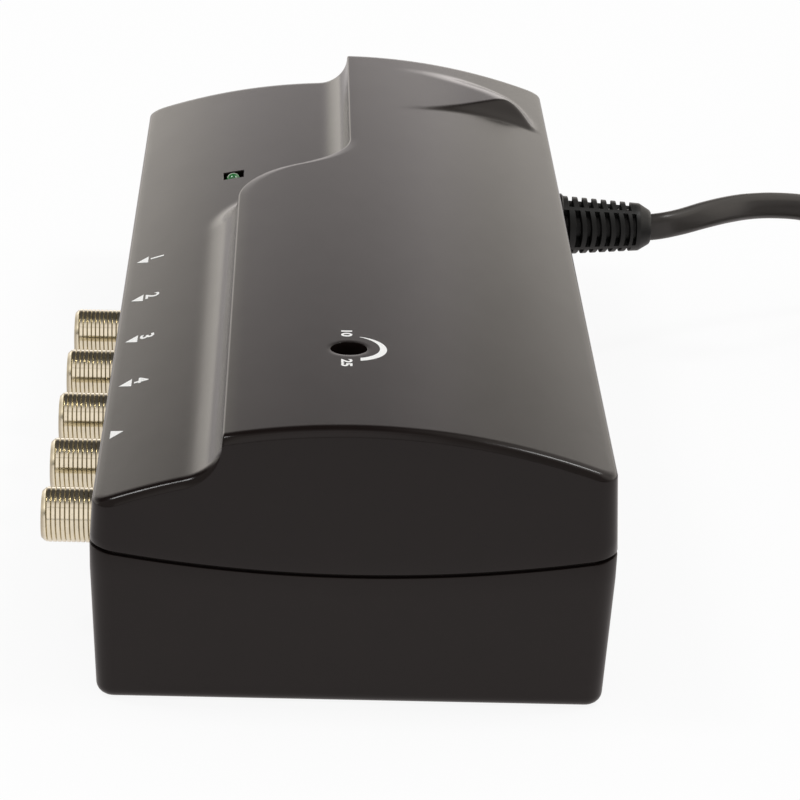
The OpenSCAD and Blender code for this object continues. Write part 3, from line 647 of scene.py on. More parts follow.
class AMPLIFIER_OT_finishes(PieceOperator, bpy.types.Operator):
    """Makes the finishes of all pieces"""
    bl_idname = "amplifier.finishes"
    bl_label = "Finishes"
    MOULDED = {
        "socket_insulator": ((0.78, 0.76, 0.7), 0.4),
        "spindle_moulding": ((0.14, 0.135, 0.125), 0.4),
        "plug_moulding": ((0.016, 0.0155, 0.015), 0.45),
        "pin_sleeve": ((0.012, 0.012, 0.012), 0.35),
        "tie_band": ((0.014, 0.014, 0.015), 0.6),
        "trimmer_blue": ((0.05, 0.1, 0.3), 0.4),
        "part_black": ((0.02, 0.02, 0.02), 0.45),
        "spacer_white": ((0.7, 0.69, 0.64), 0.5),
        "ferrite_grey": ((0.09, 0.085, 0.085), 0.6),
        "lead_brown": ((0.16, 0.06, 0.025), 0.4),
        "lead_blue": ((0.03, 0.11, 0.36), 0.4),
    }
    METAL = {
        "contact_spring": ((0.78, 0.62, 0.34), 0.25, (0.3, 1, 1)),
        "zinc_screw": ((0.62, 0.61, 0.58), 0.3),
        "pin_brass": ((0.72, 0.66, 0.52), 0.22, (1, 0.2, 1)),
        "tinned_sheet": ((0.68, 0.7, 0.71), 0.28, (0.2, 1, 1)),
        "sheet_aluminium": ((0.72, 0.73, 0.75), 0.3, (1, 0.15, 1)),
    }

    def make(self, scene):
        colours = scene.amplifier_colours
        moulded_plastic("cover_gloss", colours.cover, 0.17, 1.36, 0.12)
        moulded_plastic("base_satin", colours.base, 0.3, 1.36, 0.3)
        matt_moulding("relief_moulding", colours.relief, 0.42, 1.36)
        cord_sheath(colours.rubber)
        printed_ink(colours.ink)
        lamp_lens(colours.lamp)
        socket_nickel(colours.nickel, scene.amplifier_fittings.thread)
        board_laminate("board_green", (0.03, 0.16, 0.06))
        clear_glass("fuse_tube", (0.86, 0.9, 0.88))
        stacked_steel("core_sheets", (0.2, 0.19, 0.18))
        wound_wire("winding_wire", (0.6, 0.27, 0.1))
        for name, look in self.MOULDED.items():
            matt_moulding(name, *look)
        for name, look in self.METAL.items():
            plated_metal(name, *look)


class AMPLIFIER_OT_stage(PieceOperator, bpy.types.Operator):
    """Makes the floor, the light and the camera"""
    bl_idname = "amplifier.stage"
    bl_label = "Floor, light and camera"
    FLOOR_R = 6
    FLOOR_Z = -0.0001
    FLOOR_GLOW = 0.9
    FLOOR_GLOSS = 0.85
    SEEN = ("Is Camera Ray", "Is Glossy Ray", "Is Transmission Ray")
    PLAIN_LIGHT = 0.65
    WARM = (1.0, 0.938, 0.918)
    WARM_SIDE = (1.0, 0.945, 0.875)
    BACK = ((0.2, 0.95), (0.252, 0.64), (0.27, 0.55), (0.29, 0.515), (0.323, 0.46), (0.3665, 0.345),
            (0.46, 0.18), (0.55, 0.04), (1.0, 0.04))
    FRONT = ((0.03, 0.2), (0.09, 0.62), (0.74, 0.62), (0.775, 0.3), (0.81, 0.62), (0.92, 0.5), (1.0, 0.1))
    SIDE = ((0.3, 0.87), (0.46, 0.8), (0.55, 0.87), (0.62, 0.98), (0.7, 0.76), (0.8, 0.7))
    ROOM = 1.9
    SCREEN_WAY = (0.8, 0.25, 0.55)
    SCREEN = 1.1
    LAMPS = {"left_lamp": (-0.5, 0, 1.0), "right_lamp": (0.52, 0, 1.0)}
    LAMP_SIZE = (0.2, 0.24)
    LAMP_POWER = 2.2
    AIM = Vector((0, 0, 0.03))
    LENS = 156.17
    SENSOR = 36
    CLIP = (0.02, 50)
    CAMERA_AT = (-0.01188, -0.62265, 0.25678)
    PITCH, YAW, ROLL = (math.radians(angle) for angle in (21.512, 2.048, 2.093))

    def make(self, scene):
        scene.view_settings.view_transform = "Standard"
        self.make_floor(scene)
        self.make_world(scene)
        for name, place in self.LAMPS.items():
            self.make_lamp(scene, name, place)
        self.make_camera(scene)

    def make_floor(self, scene):
        bm = bmesh.new()
        bmesh.ops.create_circle(bm, cap_ends=True, segments=96, radius=self.FLOOR_R,
                                matrix=Matrix.Translation((0, 0, self.FLOOR_Z)))
        mesh = bpy.data.meshes.new("floor")
        bm.to_mesh(mesh)
        bm.free()
        floor = bpy.data.objects.new("floor", mesh)
        scene.collection.objects.link(floor)
        finish = Finish("floor_paper", Specular_IOR_Level=0.0)
        paper = finish.place.noise(40, 3.0)
        seen = ray_kind(finish.tree, *self.SEEN) * self.FLOOR_GLOW
        glossy = ray_kind(finish.tree, "Is Glossy Ray")
        finish.feed(Base_Color=seen.blend(paper.shade(scene.amplifier_colours.floor, 0.995, 1.0), BLACK),
                    Emission_Color=glossy.blend(WHITE, rgba(self.WARM, self.FLOOR_GLOSS)),
                    Emission_Strength=seen,
                    Roughness=0.8 + paper * 0.1)
        mesh.materials.append(finish.material)

    def make_world(self, scene):
        """White backdrop all round; in gloss it dims overhead, as in a room with a dark ceiling."""
        world = bpy.data.worlds.new("studio")
        world.use_nodes = True
        tree = world.node_tree
        tree.nodes.clear()
        output = tree.nodes.new("ShaderNodeOutputWorld")
        glossy = ray_kind(tree, "Is Glossy Ray")
        way = Signal(tree, tree.nodes.new("ShaderNodeTexCoord").outputs["Generated"])
        across, along, high = (way.axis(name) for name in "XYZ")
        left_right = 0.4 + across.band(-0.35, -0.12) * 0.6 - across.band(0.0, 0.18) * 0.55
        front = high.levels(self.FRONT) * left_right
        back = high.levels(self.BACK)
        side = (across + 0.5).levels(self.SIDE)
        room = (front + (back - front) * along.band(-0.05, 0.15)) * side * self.ROOM
        screen = way.add("ShaderNodeVectorMath", {0: way, 1: self.SCREEN_WAY}, out=1, operation="DOT_PRODUCT")
        room = room + screen.band(0.6, 0.95) * self.SCREEN
        warmth = (across * across).band(0.004, 0.04).blend(rgba(self.WARM), rgba(self.WARM_SIDE))
        plain = self.PLAIN_LIGHT + ray_kind(tree, *self.SEEN) * (1 - self.PLAIN_LIGHT)
        glow = glossy.add("ShaderNodeBackground", {
            "Color": glossy.blend(WHITE, warmth), "Strength": plain + glossy * (room - plain)})
        tree.links.new(glow.socket, output.inputs["Surface"])
        scene.world = world

    def make_lamp(self, scene, name, place):
        lamp = bpy.data.lights.new(name, "AREA")
        lamp.energy = self.LAMP_POWER
        lamp.shape = "RECTANGLE"
        lamp.size, lamp.size_y = self.LAMP_SIZE
        holder = bpy.data.objects.new(name, lamp)
        holder.location = place
        holder.rotation_euler = (self.AIM - Vector(place)).to_track_quat("-Z", "Y").to_euler()
        scene.collection.objects.link(holder)

    def make_camera(self, scene):
        lens = bpy.data.cameras.new("view_camera")
        lens.sensor_width = self.SENSOR
        lens.lens = self.LENS
        lens.clip_start, lens.clip_end = self.CLIP
        camera = bpy.data.objects.new("view_camera", lens)
        level = math.cos(self.PITCH)
        ahead = Vector((math.sin(self.YAW) * level, math.cos(self.YAW) * level, -math.sin(self.PITCH)))
        right = Vector((math.cos(self.YAW), -math.sin(self.YAW), 0))
        above = right.cross(ahead)
        turned_right = math.cos(self.ROLL) * right + math.sin(self.ROLL) * above
        turned_above = math.cos(self.ROLL) * above - math.sin(self.ROLL) * right
        turn = Matrix((turned_right, turned_above, -ahead)).transposed().to_4x4()
        camera.matrix_world = Matrix.Translation(self.CAMERA_AT) @ turn
        scene.collection.objects.link(camera)
        scene.camera = camera


class AMPLIFIER_OT_cord(PieceOperator, bpy.types.Operator):
    """Makes the mains cord with its coil, tie and plug"""
    bl_idname = "amplifier.cord"
    bl_label = "Mains cord and plug"
    LEAD = (
        (61, 59, 27.8), (63, 59, 27.8), (66, 59.5, 28.1), (70, 61.8, 28.3), (75, 65.2, 28.7), (80, 69, 28.7),
        (85, 72.8, 28.3), (91, 76.4, 27.5), (98, 80.2, 25.9), (104, 83.4, 23.2), (110, 86.6, 19.2),
        (115, 89.2, 14.6), (120, 91.8, 9.6), (125, 94, 5.8), (130.8, 95.5, 3.9), (136.4, 95.5, 3.9))
    TAIL = ((52.4, 10.3), (46.8, 10.3), (41, 9.4), (35, 7.9), (29.6, 7), (24, 7))
    SIDES = 24
    LEAN = math.radians(22)
    LEAN_AT = (78, 10)
    COIL_AT = Vector((142, 58))
    COIL_LOW = 3.9
    COIL_STEP = 5.0
    COIL_STEPS = 48
    LOWER_TURNS = 2.5
    UPPER_FROM = 3.0
    TURNS = 5.25
    LAYER = 6.4
    PLUG_AT = Vector((178.25, 16, 7))
    PLUG_SIDES = 40
    NECK = [(12, 2.6, 2.6, 2), (12, 4.0, 4.0, 2), (11.6, 4.4, 4.4, 2)]
    RIB = ((0, 4.6), (0.3, 3.9), (1.1, 3.9), (1.4, 4.7))
    RIBS = 4
    RIB_FROM = 10.4
    RIB_PITCH = 2.4
    RIB_GROWTH = 0.35
    BODY = [(0.9, 6.0, 5.9, 2.4), (0.1, 6.5, 6.2, 3), (-1.2, 7.1, 6.6, 3.6), (-6, 8.5, 6.85, 4.5),
            (-14, 10.5, 6.85, 5), (-20, 11.9, 6.85, 5), (-26.3, 13, 6.85, 5), (-34.1, 13, 6.85, 5),
            (-34.9, 12.7, 6.6, 5), (-35.3, 11.9, 5.9, 5)]
    SLEEVE = [(0, 0.0), (1.86, 0.0), (1.86, 9.8), (1.78, 10)]
    PIN_R = 2
    TIE_ROUND = 2.2
    TIE_THICK = 0.8
    TIE_RIM = 0.22

    def make(self, scene):
        sizes = scene.amplifier_cord
        path = self.route(mm(sizes.coil))
        length = sum((b - a).length for a, b in zip(path, path[1:])) * MM
        cord = self.make_cord(path, mm(sizes.width) / 2, mm(sizes.thickness) / 2)
        plug = self.make_plug()
        pins = [self.make_pin(index) for index in (1, 2)]
        tie = self.make_tie()
        tuple(path[0] * MM)
        [tuple(point * MM) for point in path]

    def coil_point(self, turns, coil_r):
        """Two layers: the lower one winds inwards, then the cord climbs and winds outwards."""
        inner = coil_r - self.COIL_STEP * self.LOWER_TURNS
        climbed = min(max((turns - self.LOWER_TURNS) / (self.UPPER_FROM - self.LOWER_TURNS), 0), 1)
        radius = inner - 2 * math.sin(math.pi * climbed)
        if turns < self.LOWER_TURNS:
            radius = coil_r - self.COIL_STEP * turns
        if turns > self.UPPER_FROM:
            radius = inner + self.COIL_STEP * (turns - self.UPPER_FROM)
        angle = math.pi / 2 - TURN * turns
        height = self.COIL_LOW + self.LAYER * climbed * climbed * (3 - 2 * climbed)
        return Vector((self.COIL_AT.x + radius * math.cos(angle), self.COIL_AT.y + radius * math.sin(angle),
                       height))

    def route(self, coil_r):
        """Centre line of the cord from the strain relief to the plug."""
        lead = [Vector(point) for point in self.LEAD]
        tail = [Vector((self.PLUG_AT.x, y, z)) for y, z in self.TAIL]
        steps = int(self.COIL_STEPS * self.TURNS)
        coil = [self.coil_point(step / self.COIL_STEPS, coil_r) for step in range(steps + 1)]
        return self.smoothed(lead) + coil + self.smoothed([coil[-1]] + tail)[1:]

    def smoothed(self, points, parts=5):
        """Curve through all points."""
        line = [points[0]]
        for index in range(len(points) - 1):
            a = points[max(index - 1, 0)]
            b, c = points[index], points[index + 1]
            d = points[min(index + 2, len(points) - 1)]
            for step in range(1, parts + 1):
                t = step / parts
                bend = 2 * a - 5 * b + 4 * c - d + t * (3 * (b - c) + d - a)
                line.append(b + 0.5 * t * (c - a + t * bend))
        return line

    def make_cord(self, path, half_w, half_t):
        bm = bmesh.new()
        last = len(path) - 1
        for vert, side, index in grid(bm, self.SIDES, last):
            way = (path[min(index + 1, last)] - path[max(index - 1, 0)]).normalized()
            across = Vector((0, 0, 1)).cross(way).normalized()
            above = way.cross(across)
            off = (path[index].x - self.LEAN_AT[0]) / self.LEAN_AT[1]
            lean = self.LEAN * max(0.0, 1 - off * off) ** 2
            across, above = (across * math.cos(lean) - above * math.sin(lean),
                             above * math.cos(lean) + across * math.sin(lean))
            angle = TURN * (side % self.SIDES + 0.5) / self.SIDES
            lift = half_t * math.sin(angle) + math.copysign(half_w - half_t, math.sin(angle))
            vert.co = path[index] + across * half_t * math.cos(angle) + above * lift
        bmesh.ops.remove_doubles(bm, verts=bm.verts, dist=0.001)
        close_up(bm)
        outward(bm)
        return place_piece(bm, "flat_cord", ["cord_sheath"],
                           ("mains_cord", "cord_coil", "plug_lead"), crease=60)

    def make_plug(self):
        """Flat plug body with a ribbed neck, its rings bridged from neck to face."""
        rings = list(self.NECK)
        for rib in range(self.RIBS):
            for back, radius in self.RIB:
                radius += rib * self.RIB_GROWTH
                rings.append((self.RIB_FROM - rib * self.RIB_PITCH - back, radius, radius, 2))
        bm = bmesh.new()
        loops = []
        for y, half_w, half_h, power in rings + self.BODY:
            verts = bmesh.ops.create_circle(bm, segments=self.PLUG_SIDES, radius=1)["verts"]
            for vert in verts:
                angle = math.atan2(vert.co.y, vert.co.x)
                x = math.copysign(abs(math.cos(angle)) ** (2 / power), math.cos(angle)) * half_w
                z = math.copysign(abs(math.sin(angle)) ** (2 / power), math.sin(angle)) * half_h
                vert.co = self.PLUG_AT + Vector((x, y, z))
            loops.append(list({edge for vert in verts for edge in vert.link_edges}))
        for first, second in zip(loops, loops[1:]):
            bmesh.ops.bridge_loops(bm, edges=first + second)
        for loop in (loops[0], loops[-1]):
            bmesh.ops.contextual_create(bm, geom=loop)
        outward(bm)
        return place_piece(bm, "mains_plug", ["plug_moulding"], ("plug_body",))

    def make_pin(self, index):
        """Round pin with a domed tip and a sleeve at its foot."""
        node = f"plug_pin_{index}"
        low, high = corners(node)
        x, _, z = centre(node)
        place = Matrix.Translation((x, high.y, z)) @ Matrix.Rotation(math.pi / 2, 4, "X")
        bm = bmesh.new()
        lathe(bm, self.SLEEVE, 32, place)
        sleeve = set(bm.faces)
        tip = dome(self.PIN_R, high.y - low.y, 6)
        lathe(bm, [self.SLEEVE[-1], (self.PIN_R - 0.04, 10.15)] + tip, 32, place)
        for face in bm.faces:
            face.material_index = 1 if face in sleeve else 0
        bmesh.ops.remove_doubles(bm, verts=bm.verts, dist=0.001)
        return place_piece(bm, f"plug_contact_{index}", ["pin_brass", "pin_sleeve"], (node,))

    def make_tie(self):
        """Soft band with round corners, closed round the bundle of turns."""
        bm = bmesh.new()
        block(bm, *corners("cord_tie"))
        lengthwise = [edge for edge in bm.edges if abs(edge.verts[0].co.y - edge.verts[1].co.y) > 1]
        soften(bm, lengthwise, self.TIE_ROUND, 6)
        ends = [face for face in bm.faces if abs(face.normal.y) > 0.9]
        bmesh.ops.delete(bm, geom=ends, context="FACES_ONLY")
        outward(bm)
        bmesh.ops.solidify(bm, geom=bm.faces, thickness=self.TIE_THICK)
        soften(bm, [edge for edge in bm.edges if edge.calc_face_angle(0) > 1.2], self.TIE_RIM, 2)
        outward(bm)
        return place_piece(bm, "coil_band", ["tie_band"], ("cord_tie",))


class AMPLIFIER_OT_cover(PieceOperator, bpy.types.Operator):
    """Makes the cover with its arched top, step, wedge, gain hole and lamp slot"""
    bl_idname = "amplifier.cover"
    bl_label = "Top cover"
    TOP_RINGS = 3
    EDGE_RINGS = 5
    WALL_RINGS = 6
    LIP_RINGS = 2
    LIP = 0.2
    HOLE_HALF = 7.0
    HOLE_CELLS = 13
    HOLE_OPEN = 5
    HOLE_RIM = 9
    SLEEVE_LOW = 43.0
    SLEEVE_R = 4.6
    SLOT = (4.0, 4.4)
    SLOT_SOFT = 0.15

    def make(self, scene):
        self.form = CaseForm(scene.amplifier_case)
        self.hole = centre("gain_adjuster").xy
        self.hole_r = mm(scene.amplifier_fittings.gain_hole)
        self.hole_rim = mm(scene.amplifier_fittings.gain_rim)
        self.lamp = centre("power_led").xy
        self.rings = self.TOP_RINGS + self.EDGE_RINGS + self.WALL_RINGS + self.LIP_RINGS
        self.lay_out()
        bm = bmesh.new()
        outer = skin(bm, self.columns, self.rows, self.rings, self.outer)
        inner = skin(bm, self.columns, self.rows, self.rings, self.inner)
        slot_top = self.open_up(bm, outer, inner)
        outward(bm)
        soften(bm, slot_top, self.SLOT_SOFT, 1)
        tool = bmesh.new()
        relief_opening(tool, scene)
        bm = carved(bm, tool)
        place_piece(bm, "cover_shell", ["cover_gloss"], ("top_cover",))

    def lay_out(self):
        """Columns across and rows along the top, close together where it bends."""
        form = self.form
        near_shelf = form.near_x - form.step_foot - form.left
        far_shelf = -form.step_foot - form.left
        slot_x = self.lamp.x - form.left
        half_x, half_y = (size / 2 for size in self.SLOT)
        far = legs(0, (slot_x - half_x, 6), (slot_x + half_x, 4), (far_shelf, 6))
        near = legs(0, (near_shelf, len(far)))
        self.slot_columns = (6, 10)
        self.columns = [("shelf", 0.0, 0.0)] + [("shelf", a, b) for a, b in zip(near, far)]
        self.columns += [("cove", math.radians(angle), 0.0) for angle in legs(0, (90, 12))]
        self.columns += [("edge", math.radians(angle), 0.0) for angle in legs(0, (90, 4))]
        self.hole_column = len(self.columns) + 5 + self.HOLE_CELLS
        hole_x = self.hole.x - form.near_x
        near = legs(form.EDGE_ROUND, (hole_x - self.HOLE_HALF, 6),
                    (hole_x + self.HOLE_HALF, 2 * self.HOLE_CELLS), (form.right - form.near_x, 20))
        far = legs(form.EDGE_ROUND, (16, 8), (form.right, len(near) - 8))
        self.columns += [("panel", a, b) for a, b in zip(near, far)]
        before_hole = legs(-form.end, (self.hole.y - self.HOLE_HALF, 6))
        self.hole_row = len(before_hole) + self.HOLE_CELLS
        before_slot = before_hole + legs(
            before_hole[-1], (self.hole.y + self.HOLE_HALF, 2 * self.HOLE_CELLS), (form.start_y, 14),
            (self.lamp.y - half_y, 34))
        self.slot_rows = (len(before_slot), len(before_slot) + 8)
        self.rows = [-form.end] + before_slot + legs(
            before_slot[-1], (self.lamp.y + half_y, 8), (70, 8), (102, 58), (form.end, 3))

    def column_x(self, column, y):
        form = self.form
        kind, near, far = self.columns[column]
        edge = form.bend_x(y, 0)
        foot = form.bend_x(y, form.step_foot)
        if kind == "shelf":
            share = (foot - form.near_x + form.step_foot) / -form.near_x
            return form.left + near + (far - near) * share
        if kind == "cove":
            return foot + (edge - foot) * math.sin(near)
        if kind == "edge":
            return edge + form.EDGE_ROUND * (1 - math.cos(near))
        share = (edge - form.near_x) / -form.near_x
        return edge + near + (far - near) * share

    def top(self, column, x, y):
        form = self.form
        kind, near, _ = self.columns[column]
        if kind == "shelf":
            return form.shelf(x)
        if kind == "cove":
            return form.arch(x) - form.EDGE_ROUND - (form.step - form.EDGE_ROUND) * math.cos(near)
        if kind == "edge":
            return form.arch(x) - form.EDGE_ROUND * (1 - math.sin(near))
        return form.panel(x, y)

    def hole_ring(self, column, row):
        """Ring of the gain hole that a grid vertex belongs to, and its direction."""
        across, along = column - self.hole_column, row - self.hole_row
        ring = max(abs(across), abs(along))
        if 0 < ring < self.HOLE_CELLS:
            return ring, heading(across, along)
        return None

    def outer(self, column, row, ring, way):
        form = self.form
        y = self.rows[row]
        x = self.column_x(column, y)
        if ring == 0:
            hole = self.hole_ring(column, row)
            return self.rim_point(*hole) if hole else Vector((x, y, self.top(column, x, y)))

        def top_out(out):
            return self.top(column, x + way.x * out, y + way.y * out)

        edge = form.side_edge + (form.edge - form.side_edge) * way.y ** 2
        reach = form.corner - form.shrink(top_out(form.corner - 0.8) - edge)
        flat = self.TOP_RINGS
        bend = flat + self.EDGE_RINGS
        lip = bend + self.WALL_RINGS
        floor = form.parting(x + way.x * form.corner)
        if ring <= flat:
            out = (reach - edge) * ring / flat
            z = top_out(out)
        elif ring <= bend:
            angle = math.pi / 2 * (ring - flat) / self.EDGE_RINGS
            out = reach - edge * (1 - math.sin(angle))
            z = top_out(out) - edge * (1 - math.cos(angle))
        elif ring <= lip:
            high = top_out(reach) - edge
            z = high + (floor + self.LIP - high) * (ring - bend) / self.WALL_RINGS
            out = form.corner - form.shrink(z)
        else:
            angle = math.pi / 2 * (ring - lip) / self.LIP_RINGS
            z = floor + self.LIP * (1 - math.sin(angle))
            out = form.corner - form.shrink(z) - self.LIP * (1 - math.cos(angle))
        return Vector((x + way.x * out, y + way.y * out, z))

    def rim_point(self, ring, way):
        """Point on the panel round the gain hole or on the hole's rounded rim."""
        if ring >= self.HOLE_RIM:
            share = (ring - self.HOLE_RIM) / (self.HOLE_CELLS - self.HOLE_RIM)
            radius = self.hole_r + self.hole_rim + (self.HOLE_HALF - self.hole_r - self.hole_rim) * share
            drop = 0.0
        else:
            angle = math.pi / 2 * min((self.HOLE_RIM - ring) / (self.HOLE_RIM - self.HOLE_OPEN), 1)
            radius = self.hole_r + self.hole_rim * (1 - math.sin(angle))
            drop = self.hole_rim * (1 - math.cos(angle))
        x, y = self.hole + way * radius
        return Vector((x, y, self.form.arch(x) - drop))

    def inner(self, column, row, ring, way):
        form = self.form
        y = self.rows[row]
        x = self.column_x(column, y)
        if ring == 0:
            hole = self.hole_ring(column, row)
            return self.sleeve_point(*hole) if hole else Vector((x, y, self.top(column, x, y) - form.wall))

        def top_out(out):
            return self.top(column, x + way.x * out, y + way.y * out) - form.wall

        floor = form.parting(x + way.x * form.corner)
        reach = form.corner - form.wall - form.shrink(top_out(form.corner - form.wall))
        if ring <= self.TOP_RINGS:
            out = reach * ring / self.TOP_RINGS
            z = top_out(out)
        else:
            high = top_out(reach)
            z = high + (floor - high) * (ring - self.TOP_RINGS) / (self.rings - self.TOP_RINGS)
            out = form.corner - form.shrink(z) - form.wall
        return Vector((x + way.x * out, y + way.y * out, z))

    def sleeve_point(self, ring, way):
        """Point of the sleeve's outside, which starts at the lower edge of the hole."""
        radius = self.hole_r if ring <= self.HOLE_OPEN else self.SLEEVE_R
        share = max(ring - self.HOLE_RIM, 0) / (self.HOLE_CELLS - self.HOLE_RIM)
        radius += (self.HOLE_HALF - radius) * share
        x, y = self.hole + way * radius
        high = self.form.arch(x) - self.form.wall
        climbed = min(max(ring - self.HOLE_OPEN - 1, 0) / (self.HOLE_RIM - self.HOLE_OPEN - 1), 1)
        return Vector((x, y, self.SLEEVE_LOW + (high - self.SLEEVE_LOW) * climbed))

    def in_hole(self, column, row):
        return max(abs(column - self.hole_column), abs(row - self.hole_row)) <= self.HOLE_OPEN

    def in_slot(self, column, row):
        columns, rows = self.slot_columns, self.slot_rows
        return columns[0] <= column <= columns[1] and rows[0] <= row <= rows[1]

    def open_up(self, bm, outer, inner):
        """Cuts the gain hole and the lamp slot, joins the two skins and returns the slot's upper edges."""
        rims = []
        for marks in (outer, inner):
            holes = []
            for face in {face for vert in marks for face in vert.link_faces}:
                spots = [marks[vert] for vert in face.verts]
                if any(ring for _, _, ring in spots):
                    continue
                if any(all(inside(c, r) for c, r, _ in spots) for inside in (self.in_hole, self.in_slot)):
                    holes.append(face)
            bmesh.ops.delete(bm, geom=holes, context="FACES")
            hole_edges, slot_edges, seam_edges = [], [], []
            for edge in open_edges(vert for vert in marks if vert.is_valid):
                column, row, ring = marks[edge.verts[0]]
                if ring:
                    seam_edges.append(edge)
                elif self.in_hole(column, row):
                    hole_edges.append(edge)
                else:
                    slot_edges.append(edge)
            rims.append((hole_edges, slot_edges, seam_edges))
        ends, _ = drawn_out(bm, rims[0][0])
        for vert in ends:
            vert.co.z = self.SLEEVE_LOW
        ends += {vert for edge in rims[1][0] for vert in edge.verts}
        bmesh.ops.remove_doubles(bm, verts=ends, dist=0.01)
        for upper, lower in zip(rims[0][1:], rims[1][1:]):
            bmesh.ops.bridge_loops(bm, edges=upper + lower)
        return rims[0][1]


class AMPLIFIER_OT_base(PieceOperator, bpy.types.Operator):
    """Makes the base with its seam, socket holes, screw wells and hanging holes"""
    bl_idname = "amplifier.base"
    bl_label = "Base"
    FLAT_RINGS = 2
    FOOT_RINGS = 6
    WALL_RINGS = 6
    LIP_RINGS = 2
    RINGS = 18
    FLOOR_RINGS = 3
    LIP = 0.2
    LEDGE = 0.9
    FLOOR = 2.4
    PILLAR_R = 5.2
    PILLARS = [(x, y) for x in (-34, 34) for y in (-100, 100)]
    WELL = [(0, -1), (3.7, -1), (3.7, -0.01), (3.3, 0.4), (3.3, 9), (1.8, 9), (1.8, 24), (0, 24)]
    SOCKET_HOLE = 5.0
    KEYHOLES = (-60, 60)
    KEY_HEAD = 4
    KEY_NECK = 2.1
    KEY_LENGTH = 8

    def make(self, scene):
        self.form = CaseForm(scene.amplifier_case)
        self.columns = [self.form.left] + legs(self.form.left, (self.form.right, 30))
        self.rows = [-self.form.end] + legs(-self.form.end, (self.form.end, 60))
        bm = bmesh.new()
        outer = skin(bm, self.columns, self.rows, self.RINGS, self.outer)
        inner = skin(bm, self.columns, self.rows, self.RINGS, self.inner)
        bmesh.ops.bridge_loops(bm, edges=open_edges(outer) + open_edges(inner))
        outward(bm)
        bm = carved(bm, self.posts(), "UNION")
        bm = carved(bm, self.openings(scene))
        place_piece(bm, "base_shell", ["base_satin"], ("base_tray",))

    def outer(self, column, row, ring, way):
        form = self.form
        x, y = self.columns[column], self.rows[row]
        foot = self.FLAT_RINGS + self.FOOT_RINGS
        top = foot + self.WALL_RINGS
        lip = top + self.LIP_RINGS
        rim = form.parting(x + way.x * form.corner) - form.gap
        if ring <= self.FLAT_RINGS:
            out = (form.corner - form.shrink(0) - form.foot) * ring / self.FLAT_RINGS
            z = 0.0
        elif ring <= foot:
            angle = math.pi / 2 * (ring - self.FLAT_RINGS) / self.FOOT_RINGS
            z = form.foot * (1 - math.cos(angle))
            out = form.corner - form.shrink(z) - form.foot * (1 - math.sin(angle))
        elif ring <= top:
            z = form.foot + (rim - self.LIP - form.foot) * (ring - foot) / self.WALL_RINGS
            out = form.corner - form.shrink(z)
        elif ring <= lip:
            angle = math.pi / 2 * (ring - top) / self.LIP_RINGS
            z = rim - self.LIP * (1 - math.sin(angle))
            out = form.corner - form.shrink(z) - self.LIP * (1 - math.cos(angle))
        else:
            z = rim if ring == lip + 1 else rim + form.gap
            out = form.corner - self.LEDGE
        return Vector((x + way.x * out, y + way.y * out, z))

    def inner(self, column, row, ring, way):
        form = self.form
        x, y = self.columns[column], self.rows[row]
        rim = form.parting(x + way.x * form.corner)
        reach = form.corner - form.wall - form.shrink(self.FLOOR)
        if ring <= self.FLOOR_RINGS:
            out = reach * ring / self.FLOOR_RINGS
            z = self.FLOOR
        else:
            z = self.FLOOR + (rim - self.FLOOR) * (ring - self.FLOOR_RINGS) / (self.RINGS - self.FLOOR_RINGS)
            out = form.corner - form.shrink(z) - form.wall
        return Vector((x + way.x * out, y + way.y * out, z))

    def posts(self):
        bm = bmesh.new()
        for x, y in self.PILLARS:
            rod(bm, (x, y, 1), (x, y, 22), self.PILLAR_R, 32)
        return bm

    def openings(self, scene):
        bm = bmesh.new()
        for x, y in self.PILLARS:
            lathe(bm, self.WELL, 32, Matrix.Translation((x, y, 0)))
        wall_x = -self.form.half_w
        for port in PORTS:
            _, y, z = centre(f"insulator_{port}")
            rod(bm, (wall_x - 3, y, z), (wall_x + 6, y, z), self.SOCKET_HOLE)
        relief_opening(bm, scene)
        rounds = bmesh.new()
        slots = bmesh.new()
        for y in self.KEYHOLES:
            far = y + self.KEY_LENGTH
            rod(rounds, (0, y, -1), (0, y, 4), self.KEY_HEAD)
            rod(rounds, (0, far, -1), (0, far, 4), self.KEY_NECK)
            block(slots, (-self.KEY_NECK, y, -0.9), (self.KEY_NECK, far, 3.9))
        keyholes = carved(rounds, slots, "UNION")
        mesh = bpy.data.meshes.new("keyholes")
        keyholes.to_mesh(mesh)
        keyholes.free()
        take_in(bm, mesh)
        return bm


